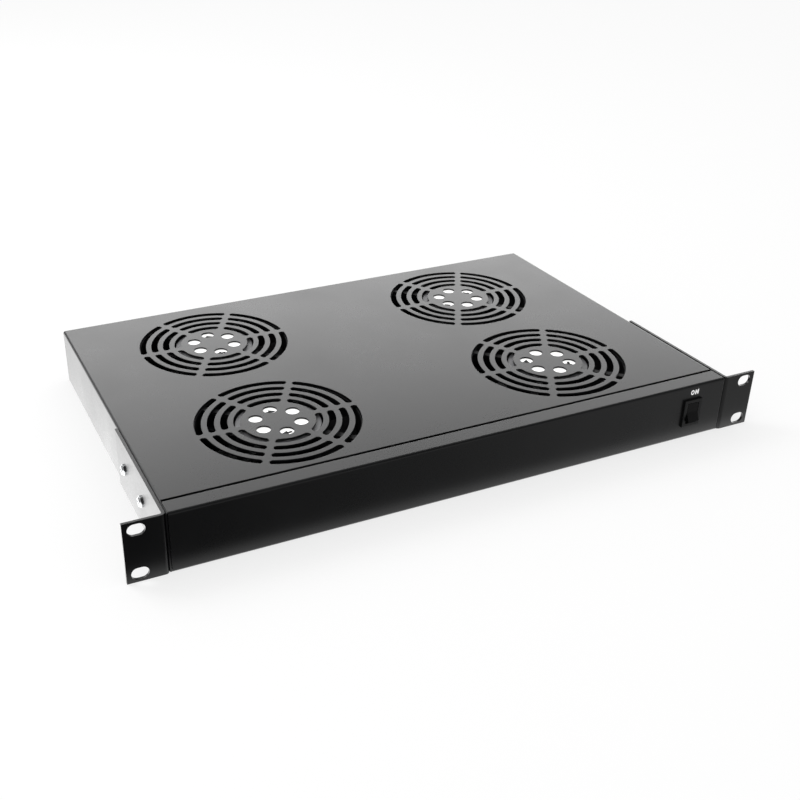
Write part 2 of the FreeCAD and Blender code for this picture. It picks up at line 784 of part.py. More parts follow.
def nut(name, across_flats, height, bore, x, y, z, turn):
    """A hexagonal nut from a point along the axis that turn gives."""
    blank = prism(f"{name}_blank", 6, across_flats / math.sqrt(3), height)
    hole = cylinder(f"{name}_bore", bore, height + 2 * PAST, 0, 0, -PAST)
    drilled = cut(name, blank, [hole])
    drilled.Placement.Rotation = turn
    return place(drilled, x, y, z)


def make_side_fasteners():
    """The screws through ear, cover and pan, and the nuts behind them."""
    screws, nuts = [], []
    outside = HALF_BODY + s.ear_gauge
    length = outside - WALL_INSIDE + s.nut_height + PAST
    for side in (LEFT, RIGHT):
        inward = along(Vector(-side, 0, 0))
        x = outside * side
        for number, y in enumerate(EAR_SCREWS, start=1):
            tag = f"{number}_left" if side == LEFT else f"{number}_right"
            screws.append(
                pan_head(f"ear_screw_{tag}", s.screw, s.head, s.head_height, length, x, y, 0, inward)
            )
            nuts.append(
                nut(f"ear_nut_{tag}", s.nut_width, s.nut_height, s.screw, WALL_INSIDE * side, y, 0, inward)
            )
    group("ear_screws", screws)
    group("ear_nuts", nuts)


def make_rear_fasteners():
    """The screws that hold the cover's tabs, and the nuts behind them."""
    screws, nuts = [], []
    inside = REAR_INSIDE - s.fit_gap - s.gauge
    length = REAR - inside + s.small_nut_height + PAST
    for side, x in TABS:
        tag = "left" if side == LEFT else "right"
        screws.append(
            pan_head(
                f"rear_screw_{tag}",
                s.small_screw,
                s.small_head,
                s.small_head_height,
                length,
                x,
                REAR,
                TAB_SCREW,
                FORWARD,
            )
        )
        nuts.append(
            nut(
                f"rear_nut_{tag}",
                s.small_nut_width,
                s.small_nut_height,
                s.small_screw,
                x,
                inside,
                TAB_SCREW,
                FORWARD,
            )
        )
    group("rear_screws", screws)
    group("rear_nuts", nuts)


def make_fan_screws():
    """The countersunk screws that hold the fans, flush with the pan's underside."""
    screws = []
    for corner, x, y in fan_corners():
        head = cone(f"fan_screw_head_{corner}", s.sunk_head, s.screw, s.gauge, x, y, BOTTOM)
        length = s.gasket_thick + s.fan_screw
        shank = cylinder(f"fan_screw_shank_{corner}", s.screw, length, x, y, FLOOR)
        screws.append(fuse(f"fan_screw_{corner}", [head, shank]))
    group("fan_screws", screws)


def make_gaskets():
    """The rubber gasket under each fan, which closes the gap between its frame and the pan."""
    half = s.fan_size / 2
    gaskets = []

    def is_upright(middle, run):
        return abs(run.z) > float(s.gasket_thick) / 2

    for fan, x, y in FANS:
        sheet = box(f"{fan}_gasket_sheet", (-half, half), (-half, half), (0, s.gasket_thick))
        rounded = soften(f"{fan}_gasket_rounded", sheet, "Part::Fillet", s.fan_corner, is_upright)
        through = s.gasket_thick + 2 * PAST
        tools = [cylinder(f"{fan}_gasket_duct", DUCT, through, 0, 0, -PAST)]
        for number, (across, deep) in enumerate(CORNERS, start=1):
            hole_x, hole_y = FAN_HOLES * across, FAN_HOLES * deep
            hole = f"{fan}_gasket_hole_{number}"
            tools.append(cylinder(hole, s.screw, through, hole_x, hole_y, -PAST))
        gaskets.append(place(cut(f"{fan}_gasket", rounded, tools), x, y, FLOOR))
    group("fan_gaskets", gaskets)


# ---------------------------------------------------------------- fans

BASE_HIGH = FAN_HEIGHT - s.label_thick
BASE_LOW = BASE_HIGH - s.motor_base_thick
HUB_RIM = BASE_LOW - s.hub_gap
HUB_INSIDE = s.hub_floor + s.hub_wall
BOSS = s.shaft + s.hub_wall
BOSS_TOP = HUB_INSIDE + s.hub_boss
BEARING_LOW = BOSS_TOP + s.hub_gap
BEARING_BORE = s.shaft + s.shaft_play
BEARING = BEARING_BORE + s.bearing_wall
TUBE = BEARING + s.bearing_tube_wall
RING_OUTSIDE = s.hub - s.hub_wall
RING_INSIDE = RING_OUTSIDE - s.rotor_ring
STATOR = RING_INSIDE - s.stator_gap


def make_fan_frame(fan, x, y):
    """The cast frame: square body with its duct, and struts that carry the motor's base."""
    half = s.fan_size / 2
    name = f"{fan}_frame"
    block = box(f"{name}_block", (-half, half), (-half, half), (0, FAN_HEIGHT))

    def is_corner(middle, run):
        return abs(run.z) > float(FAN_HEIGHT) / 2

    rounded = soften(f"{name}_rounded", block, "Part::Fillet", s.fan_corner, is_corner)
    past = half + PAST
    waist = (s.fan_flange, FAN_HEIGHT - s.fan_flange)
    corners = box(f"{name}_corners", (-past, past), (-past, past), waist)
    skin = cylinder(f"{name}_skin", DUCT + s.duct_skin, FAN_HEIGHT)
    through = FAN_HEIGHT + 2 * PAST
    tools = [
        cut(f"{name}_waist", corners, [skin]),
        cylinder(f"{name}_duct", DUCT, through, 0, 0, -PAST),
    ]
    for number, (across, deep) in enumerate(CORNERS, start=1):
        hole_x, hole_y = FAN_HOLES * across, FAN_HOLES * deep
        tools.append(cylinder(f"{name}_hole_{number}", s.screw, through, hole_x, hole_y, -PAST))
    shell = cut(f"{name}_shell", rounded, tools)
    base = cylinder(f"{name}_base", s.motor_base, s.motor_base_thick, 0, 0, BASE_LOW)
    tube = cylinder(f"{name}_tube", TUBE, BASE_LOW - BEARING_LOW, 0, 0, BEARING_LOW)
    pieces = [shell, base, tube]
    length = DUCT + PAST
    for number in range(STRUTS // 2):
        bar = box(
            f"{name}_bar_{number}",
            (-length, length),
            (-s.strut_width / 2, s.strut_width / 2),
            (BASE_LOW, BASE_HIGH),
        )
        pieces.append(turned(bar, 360 * (number + 0.5) / STRUTS))
    bore = cylinder(f"{name}_bore", BEARING, BASE_LOW - BEARING_LOW + PAST, 0, 0, BEARING_LOW - PAST)
    return place(cut(name, fuse(f"{name}_joined", pieces), [bore]), x, y, SEAT)


def ring(name, outer, inner, low, high, x, y):
    """A plain ring round a fan's axis."""
    disc = cylinder(f"{name}_disc", outer, high - low)
    core = cylinder(f"{name}_core", inner, high - low + 2 * PAST, 0, 0, -PAST)
    return place(cut(name, disc, [core]), x, y, SEAT + low)


def make_impeller(fan, x, y):
    """The impeller: a cup-shaped hub with lofted, swept blades."""
    name = f"{fan}_impeller"
    body = new_body(name)
    hub = sketch_on(body, f"{name}_hub_outline", "XZ_Plane")
    edge = s.hub_wall
    polygon(
        hub,
        [
            (0, s.hub_floor),
            (s.hub - edge, s.hub_floor),
            (s.hub, s.hub_floor + edge),
            (s.hub, HUB_RIM),
            (0, HUB_RIM),
        ],
    )
    revolve(body, f"{name}_hub", hub)
    sections = []
    middle = (s.hub_floor + HUB_RIM) / 2
    for tag, radius, share in (("root", RING_INSIDE, s.blade_taper), ("tip", DUCT, 1)):
        section = sketch_on(body, f"{name}_{tag}", "XZ_Plane", radius)
        half = s.blade_sweep / 2 * share
        low = middle - s.blade_rise / 2 * share
        high = middle + s.blade_rise / 2 * share
        thick = s.blade_thick * share
        crest = half * s.blade_crest
        bowed = middle - s.blade_bow * share
        polygon(
            section,
            [
                (-half, low),
                (crest, bowed),
                (half, high - thick),
                (half, high),
                (-crest, bowed + s.blade_belly * share),
                (-half, low + thick),
            ],
        )
        sections.append(section)
    blade = body.newObject("PartDesign::AdditiveLoft", f"{name}_blade")
    blade.Profile = sections[0]
    blade.Sections = [sections[1]]
    blade.Ruled = True
    doc.recompute()
    blades = body.newObject("PartDesign::PolarPattern", f"{name}_blades")
    blades.Originals = [blade]
    blades.Axis = (hub, ["V_Axis"])
    blades.Angle = 360
    blades.Occurrences = BLADES
    body.Tip = blades
    trim = sketch_on(body, f"{name}_trim_outline", "XZ_Plane")
    rectangle(trim, (DUCT - s.blade_tip_gap, 2 * DUCT), (-PAST, FAN_HEIGHT + PAST))
    revolve(body, f"{name}_trim", trim, "PartDesign::Groove")
    cup = sketch_on(body, f"{name}_cup_outline", "XZ_Plane")
    polygon(
        cup,
        [
            (0, s.hub_floor + s.hub_wall / 2),
            (s.shaft, s.hub_floor + s.hub_wall / 2),
            (s.shaft, BOSS_TOP),
            (BOSS, BOSS_TOP),
            (BOSS, HUB_INSIDE),
            (RING_OUTSIDE, HUB_INSIDE),
            (RING_OUTSIDE, HUB_RIM + PAST),
            (0, HUB_RIM + PAST),
        ],
    )
    revolve(body, f"{name}_cup", cup, "PartDesign::Groove")
    return place(body, x, y, SEAT)


def make_fan(fan, x, y):
    """One axial fan, intake down, with its fixed motor base and label on top."""
    make_fan_frame(fan, x, y)
    make_impeller(fan, x, y)
    shaft_low = s.hub_floor + s.hub_wall / 2
    place(
        cylinder(f"{fan}_shaft", s.shaft, BASE_LOW - s.hub_gap / 2 - shaft_low), x, y, SEAT + shaft_low
    )
    ring(f"{fan}_bearing", BEARING, BEARING_BORE, BEARING_LOW, BASE_LOW, x, y)
    ring(f"{fan}_stator", STATOR, TUBE, BEARING_LOW + s.hub_gap, BASE_LOW - s.hub_gap, x, y)
    ring(f"{fan}_rotor_ring", RING_OUTSIDE, RING_INSIDE, HUB_INSIDE, HUB_RIM, x, y)
    place(cylinder(f"{fan}_label", s.label_radius, s.label_thick), x, y, SEAT + BASE_HIGH)


# ---------------------------------------------------------------- switch and mains inlet

PIVOT_Y = FRONT - s.bezel_thick + s.rocker_sink


def make_switch():
    """The rocker switch: housing with its bezel, the rocker on its pins, and three terminals."""
    x = SWITCH_X
    bezel_front = FRONT - s.bezel_thick
    behind = FRONT + s.switch_depth

    def centred(size):
        return as_size(size) / 2

    bezel = box(
        "switch_bezel",
        (x - centred(s.bezel_width), x + centred(s.bezel_width)),
        (bezel_front, FRONT),
        (-centred(s.bezel_height), centred(s.bezel_height)),
    )
    shell = box(
        "switch_shell",
        (x - centred(s.switch_width), x + centred(s.switch_width)),
        (FRONT, behind),
        (-centred(s.switch_height), centred(s.switch_height)),
    )
    half = centred(s.rocker_height)
    crown = s.rocker_sink
    swing = sine(s.rocker_tilt) / cosine(s.rocker_tilt)
    proud = crown + half * swing
    pocket_half = centred(s.rocker_width) + s.rocker_play
    pocket_high = proud * sine(s.rocker_tilt) + half * cosine(s.rocker_tilt) + s.rocker_play
    hollow = box(
        "switch_hollow",
        (x - pocket_half, x + pocket_half),
        (bezel_front - PAST, PIVOT_Y + s.rocker_sink),
        (-pocket_high, pocket_high),
    )
    pin_reach = centred(s.rocker_width) + s.pivot
    sockets = cylinder(
        "switch_pivot_bore",
        s.pivot + s.pivot_play,
        2 * (pin_reach + s.fit_gap),
        x - pin_reach - s.fit_gap,
        PIVOT_Y,
        0,
        along(Vector(1, 0, 0)),
    )
    cut("switch_housing", fuse("switch_moulding", [bezel, shell]), [hollow, sockets])

    body = new_body("switch_rocker")
    side = sketch_on(body, "rocker_side", "YZ_Plane")
    polygon(
        side,
        [
            (-crown, 0),
            (-proud, half),
            (-s.rocker_lip, half),
            (s.rocker_toe, s.rocker_toe),
            (s.rocker_toe, -s.rocker_toe),
            (-s.rocker_lip, -half),
            (-proud, -half),
        ],
    )
    pad(body, "rocker_block", side, s.rocker_width, middle=True)
    pins = sketch_on(body, "rocker_pins", "YZ_Plane")
    circle(pins, 0, 0, s.pivot)
    pad(body, "rocker_pin_pad", pins, 2 * pin_reach, middle=True)
    body.Placement.Rotation = Rotation(Vector(1, 0, 0), -float(s.rocker_tilt))
    place(body, x, PIVOT_Y, 0)

    blades = []
    for number, z in enumerate((-1, 0, 1), start=1):
        height = s.blade_pitch * z
        blades.append(
            box(
                f"switch_blade_{number}",
                (x - s.blade_width / 2, x + s.blade_width / 2),
                (behind, behind + s.blade_length),
                (height - s.blade_gauge / 2, height + s.blade_gauge / 2),
            )
        )
    group("switch_terminals", blades)


def make_inlet():
    """The three-pin mains inlet, its pins, and its screws and nuts."""
    x = INLET_X
    outside = REAR + s.inlet_flange_thick
    inside = REAR - s.inlet_depth
    flange = box(
        "inlet_flange",
        (x - s.inlet_flange_width / 2, x + s.inlet_flange_width / 2),
        (REAR, outside),
        (-s.inlet_flange_height / 2, s.inlet_flange_height / 2),
    )

    def is_corner(middle, run):
        return abs(run.y) > float(s.inlet_flange_thick) / 2

    rounded = soften("inlet_flange_rounded", flange, "Part::Fillet", s.inlet_corner, is_corner)
    shell = box(
        "inlet_shell",
        (x - s.inlet_width / 2, x + s.inlet_width / 2),
        (inside, REAR),
        (-s.inlet_height / 2, s.inlet_height / 2),
    )
    socket_block = box(
        "inlet_socket_block",
        (x - s.socket_width / 2, x + s.socket_width / 2),
        (outside - s.socket_depth, outside + PAST),
        (-s.socket_height / 2, s.socket_height / 2),
    )

    def is_key(middle, run):
        return abs(run.y) > float(s.socket_depth) / 2 and middle.z > 0

    socket = soften("inlet_socket", socket_block, "Part::Chamfer", s.socket_key, is_key)
    tools = [socket]
    for number, screw_x in enumerate(INLET_SCREWS, start=1):
        tools.append(
            cylinder(
                f"inlet_hole_{number}",
                s.small_hole,
                s.inlet_flange_thick + 2 * PAST,
                screw_x,
                REAR - PAST,
                0,
                BACKWARD,
            )
        )
    pins = []
    for number, (across, up) in enumerate(((0, 1), (-1, -1), (1, -1)), start=1):
        pin_x = x + s.pin_pitch * across
        pin_z = s.pin_rise / 2 * up
        pin = box(
            f"inlet_pin_{number}",
            (pin_x - s.pin_thick / 2, pin_x + s.pin_thick / 2),
            (inside - s.blade_length, outside - s.pin_recess),
            (pin_z - s.pin_wide / 2, pin_z + s.pin_wide / 2),
        )
        pins.append(pin)
        tools.append(
            box(
                f"inlet_pin_slot_{number}",
                (pin_x - s.pin_thick / 2, pin_x + s.pin_thick / 2),
                (inside - PAST, outside),
                (pin_z - s.pin_wide / 2, pin_z + s.pin_wide / 2),
            )
        )
    cut("inlet_body", fuse("inlet_moulding", [rounded, shell]), tools)
    group("inlet_pins", pins)
    screws, nuts = [], []
    length = outside - REAR_INSIDE + s.small_nut_height + PAST
    for number, screw_x in enumerate(INLET_SCREWS, start=1):
        screws.append(
            pan_head(
                f"inlet_screw_{number}",
                s.small_screw,
                s.small_head,
                s.small_head_height,
                length,
                screw_x,
                outside,
                0,
                FORWARD,
            )
        )
        nuts.append(
            nut(
                f"inlet_nut_{number}",
                s.small_nut_width,
                s.small_nut_height,
                s.small_screw,
                screw_x,
                REAR_INSIDE,
                0,
                FORWARD,
            )
        )
    group("inlet_screws", screws)
    group("inlet_nuts", nuts)


# ---------------------------------------------------------------- leads and terminal block

SWITCH_TAIL = FRONT + s.switch_depth + s.blade_length
INLET_TAIL = REAR - s.inlet_depth - s.blade_length
LOW_RUN = -(s.blade_pitch + 2 * s.lead_turn + s.lead_straight)
BLOCK_RIGHT = INLET_X + s.pin_pitch - s.block_gap
BLOCK_LEFT = BLOCK_RIGHT - s.block_width
BLOCK_TOP = FLOOR + s.block_height
BLOCK_Y = (FRONT_ROW + REAR_ROW) / 2
BLOCK_POLES = 3
LEAD_SIDES = 12


def quarter(name, radius, corner, arriving, leaving):
    """A quarter bend of a lead, tangent to the runs that arrive at and leave its corner."""
    section = doc.addObject("Part::RegularPolygon", f"{name}_section")
    section.Polygon = LEAD_SIDES
    bind(section, "Circumradius", radius)
    section.Placement.Rotation = along(arriving)
    start = [at - s.lead_turn * part for at, part in zip(corner, arriving)]
    place(section, *start)
    bend = doc.addObject("Part::Revolution", name)
    bend.Source = section
    bend.Axis = arriving.cross(leaving)
    bend.Angle = 90
    bend.Solid = True
    for letter, at, part in zip("xyz", start, leaving):
        bind(bend, f"Base.{letter}", at + s.lead_turn * part)
    return bend


def lead(name, radius, corners):
    """A lead along runs that each follow one axis, with a quarter bend at each corner."""
    pieces = []
    arriving = None
    for number, (start, end) in enumerate(zip(corners, corners[1:]), start=1):
        axis = [i for i in range(3) if float(start[i]) != float(end[i])][0]
        way = 1 if float(end[axis]) > float(start[axis]) else -1
        direction = Vector(*(way if i == axis else 0 for i in range(3)))
        before = 0 if arriving is None else s.lead_turn
        after = 0 if number == len(corners) - 1 else s.lead_turn
        length = (as_size(end[axis]) - start[axis]) * way - before - after
        begin = [at + as_size(before) * part for at, part in zip(start, direction)]
        run = prism(f"{name}_run_{number}", LEAD_SIDES, radius, length, *begin, along(direction))
        pieces.append(run)
        if arriving is not None:
            pieces.append(quarter(f"{name}_bend_{number}", radius, start, arriving, direction))
        arriving = direction
    return fuse(name, pieces)


def make_mains_leads():
    """The live lead to the switch, the switched lead back to the block, and the neutral."""
    live = INLET_X + s.pin_pitch
    neutral = INLET_X - s.pin_pitch
    level = -s.pin_rise / 2
    turn = INLET_TAIL - s.core_run
    front = SWITCH_TAIL + s.live_run
    back = SWITCH_TAIL + s.switch_run
    block_front = BLOCK_Y - s.block_length / 2
    block_rear = BLOCK_Y + s.block_length / 2
    live_route = [
        (live, INLET_TAIL, level),
        (live, turn, level),
        (live, turn, LOW_RUN),
        (live, front, LOW_RUN),
        (SWITCH_X, front, LOW_RUN),
        (SWITCH_X, front, -s.blade_pitch),
        (SWITCH_X, SWITCH_TAIL, -s.blade_pitch),
    ]
    switched_route = [
        (SWITCH_X, SWITCH_TAIL, 0),
        (SWITCH_X, back, 0),
        (SWITCH_X, back, LOW_RUN),
        (SWITCH_X, block_front, LOW_RUN),
    ]
    neutral_route = [
        (neutral, INLET_TAIL, level),
        (neutral, turn, level),
        (neutral, turn, LOW_RUN),
        (neutral, block_rear, LOW_RUN),
    ]
    routes = (("live", live_route), ("switched", switched_route), ("neutral", neutral_route))
    group("mains_leads", [lead(f"{use}_lead", s.core, route) for use, route in routes])


def make_earth():
    """The earth lead, and the stud, ring tag and nut that bond the pan."""
    level = s.pin_rise / 2
    drop = INLET_TAIL - s.earth_run
    tag_top = FLOOR + s.tag_thick
    lead(
        "earth_lead",
        s.core,
        [(INLET_X, INLET_TAIL, level), (INLET_X, drop, level), (INLET_X, drop, tag_top)],
    )
    half = s.tag_width / 2
    tag_rear = drop + half
    tag_front = tag_rear - s.tag_length
    stud_y = tag_front + half
    across = (INLET_X - half, INLET_X + half)
    blank = box("earth_tag_blank", across, (tag_front, tag_rear), (FLOOR, tag_top))
    hole = cylinder("earth_tag_hole", s.screw, s.tag_thick + 2 * PAST, INLET_X, stud_y, FLOOR - PAST)
    pieces = [
        cut("earth_tag", blank, [hole]),
        cylinder("earth_stud", s.screw, s.stud_height, INLET_X, stud_y, FLOOR),
        nut("earth_nut", s.nut_width, s.nut_height, s.screw, INLET_X, stud_y, tag_top, Rotation()),
    ]
    group("earth_bond", pieces)


def make_terminal_block():
    """The moulded block where the switched lead and the neutral meet the fans' leads."""
    half = s.block_length / 2
    blank = box(
        "block_blank", (BLOCK_LEFT, BLOCK_RIGHT), (BLOCK_Y - half, BLOCK_Y + half), (FLOOR, BLOCK_TOP)
    )

    def is_upright(middle, run):
        return abs(run.z) > float(s.block_height) / 2

    rounded = soften("block_rounded", blank, "Part::Fillet", s.bend, is_upright)
    wells = []
    for column, x in enumerate((BLOCK_LEFT + s.block_width / 4, BLOCK_RIGHT - s.block_width / 4)):
        for pole in range(BLOCK_POLES):
            y = BLOCK_Y + s.block_pitch * (pole - 1)
            start = BLOCK_TOP - s.block_well_deep
            wells.append(
                cylinder(f"block_well_{column}_{pole}", s.block_well, s.block_well_deep + PAST, x, y, start)
            )
    cut("terminal_block", rounded, wells)


def make_fan_leads():
    """Each fan's lead, from its frame through the gap between the rows to the block."""
    leads = []
    lane = s.lead_turn + s.lead_straight
    low = SEAT + s.fan_flange / 2
    high = SEAT + FAN_HEIGHT - s.fan_flange / 2
    for fan, x, y in FANS:
        ahead = 1 if float(y) < float(BLOCK_Y) else -1
        face = y + s.fan_size / 2 * ahead
        start_x = x + s.fan_lead_in
        lane_y = face + lane * ahead
        if float(x) > 0:
            route = [(start_x, face, low), (start_x, lane_y, low), (BLOCK_LEFT, lane_y, low)]
        else:
            drop = BLOCK_LEFT + s.block_width / 2
            route = [
                (start_x, face, high),
                (start_x, lane_y, high),
                (drop, lane_y, high),
                (drop, lane_y, BLOCK_TOP),
            ]
        leads.append(lead(f"{fan}_lead", s.fan_lead, route))
    group("fan_leads", leads)


# ---------------------------------------------------------------- build and write

SINGLES = [
    "base_pan",
    "top_cover",
    "left_ear",
    "right_ear",
    "ear_screws",
    "ear_nuts",
    "rear_screws",
    "rear_nuts",
    "fan_screws",
    "fan_gaskets",
    "switch_housing",
    "switch_rocker",
    "switch_terminals",
    "inlet_body",
    "inlet_pins",
    "inlet_screws",
    "inlet_nuts",
    "mains_leads",
    "earth_lead",
    "earth_bond",
    "terminal_block",
    "fan_leads",
]
FAN_PIECES = ["frame", "impeller", "shaft", "bearing", "stator", "rotor_ring", "label"]


def write_parts(names):
    """Checks the document and every sub-part, then writes one STEP file for each."""
    for thing in doc.Objects:
        if "Invalid" in thing.State or "Error" in thing.State:
            raise RuntimeError(f"{thing.Label} failed: {thing.State}")
    shapes = {}
    for name in names:
        shape = doc.getObjectsByLabel(name)[0].Shape
        if shape.isNull() or not shape.isValid() or not shape.Solids:
            raise RuntimeError(f"{name} has no valid solid")
        shapes[name] = shape
    os.makedirs("parts", exist_ok=True)
    for name, shape in shapes.items():
        shape.exportStep(f"parts/{name}.step")


make_pan()
make_cover()
make_ear("left_ear", LEFT)
make_ear("right_ear", RIGHT)
make_side_fasteners()
make_rear_fasteners()
make_fan_screws()
make_gaskets()
for fan_name, fan_x, fan_y in FANS:
    make_fan(fan_name, fan_x, fan_y)
make_switch()
make_inlet()
make_mains_leads()
make_earth()
make_terminal_block()
make_fan_leads()
doc.recompute()
write_parts(SINGLES + [f"{fan}_{piece}" for fan, _, _ in FANS for piece in FAN_PIECES])
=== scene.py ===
"""Looks of the rack fan tray: finishes, small pieces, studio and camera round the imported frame."""

import json
import logging
import math
from dataclasses import dataclass, field
from enum import Enum

import bmesh
import bpy
from mathutils import Matrix, Vector

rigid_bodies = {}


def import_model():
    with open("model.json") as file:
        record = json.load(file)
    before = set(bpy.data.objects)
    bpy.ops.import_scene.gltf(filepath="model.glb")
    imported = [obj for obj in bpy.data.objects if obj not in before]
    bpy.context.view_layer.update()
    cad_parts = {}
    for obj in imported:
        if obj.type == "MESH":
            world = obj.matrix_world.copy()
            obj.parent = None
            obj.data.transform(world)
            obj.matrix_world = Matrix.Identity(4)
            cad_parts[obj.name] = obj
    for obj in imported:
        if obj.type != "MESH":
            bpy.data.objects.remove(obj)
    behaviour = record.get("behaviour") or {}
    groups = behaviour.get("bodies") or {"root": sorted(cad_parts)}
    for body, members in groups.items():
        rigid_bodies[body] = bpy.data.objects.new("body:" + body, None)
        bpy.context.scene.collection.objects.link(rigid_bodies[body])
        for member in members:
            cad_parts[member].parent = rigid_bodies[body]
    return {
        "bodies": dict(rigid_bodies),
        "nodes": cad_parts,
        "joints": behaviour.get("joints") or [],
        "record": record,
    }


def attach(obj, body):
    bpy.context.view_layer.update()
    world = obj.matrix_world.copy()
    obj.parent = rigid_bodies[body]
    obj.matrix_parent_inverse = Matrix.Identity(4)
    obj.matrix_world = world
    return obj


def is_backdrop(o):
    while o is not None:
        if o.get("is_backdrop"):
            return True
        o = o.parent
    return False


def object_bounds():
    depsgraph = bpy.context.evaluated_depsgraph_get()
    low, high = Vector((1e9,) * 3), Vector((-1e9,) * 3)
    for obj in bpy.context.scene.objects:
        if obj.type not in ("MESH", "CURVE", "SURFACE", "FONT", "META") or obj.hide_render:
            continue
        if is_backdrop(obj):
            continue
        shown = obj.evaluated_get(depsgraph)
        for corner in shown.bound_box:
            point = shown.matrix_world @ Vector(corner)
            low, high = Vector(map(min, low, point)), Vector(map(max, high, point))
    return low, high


LOG = logging.getLogger("fan_tray")
MM = 0.001
# Each fan, and how far its label is turned on its motor.
FANS = {"fan1": 0.0, "fan2": 60.0, "fan3": 0.0, "fan4": 120.0}
# Stripes for each metre across a two-colour lead.
STRIPE_SCALE = 130.0
# Repeats for each metre of the slow noise in every finish.
CLOUD_SCALE = 18.0
# Octaves of the slow and of the fine noise.
CLOUD_DETAIL = 4.0
GRAIN_DETAIL = 3.0
# Where the slow noise reaches its two colours.
CLOUD_ENDS = (0.3, 0.7)
# Sums of both noises that give the least and the most roughness.
GLOSS_ENDS = (0.6, 1.4)
SMOOTHEST = 0.03
EDGE_SAMPLES = 4


# ---------------------------------------------------------------- finishes


class Gloss(Enum):
    """How much a finish varies in gloss over its surface."""

    LIGHT = 0.05
    WORN = 0.10


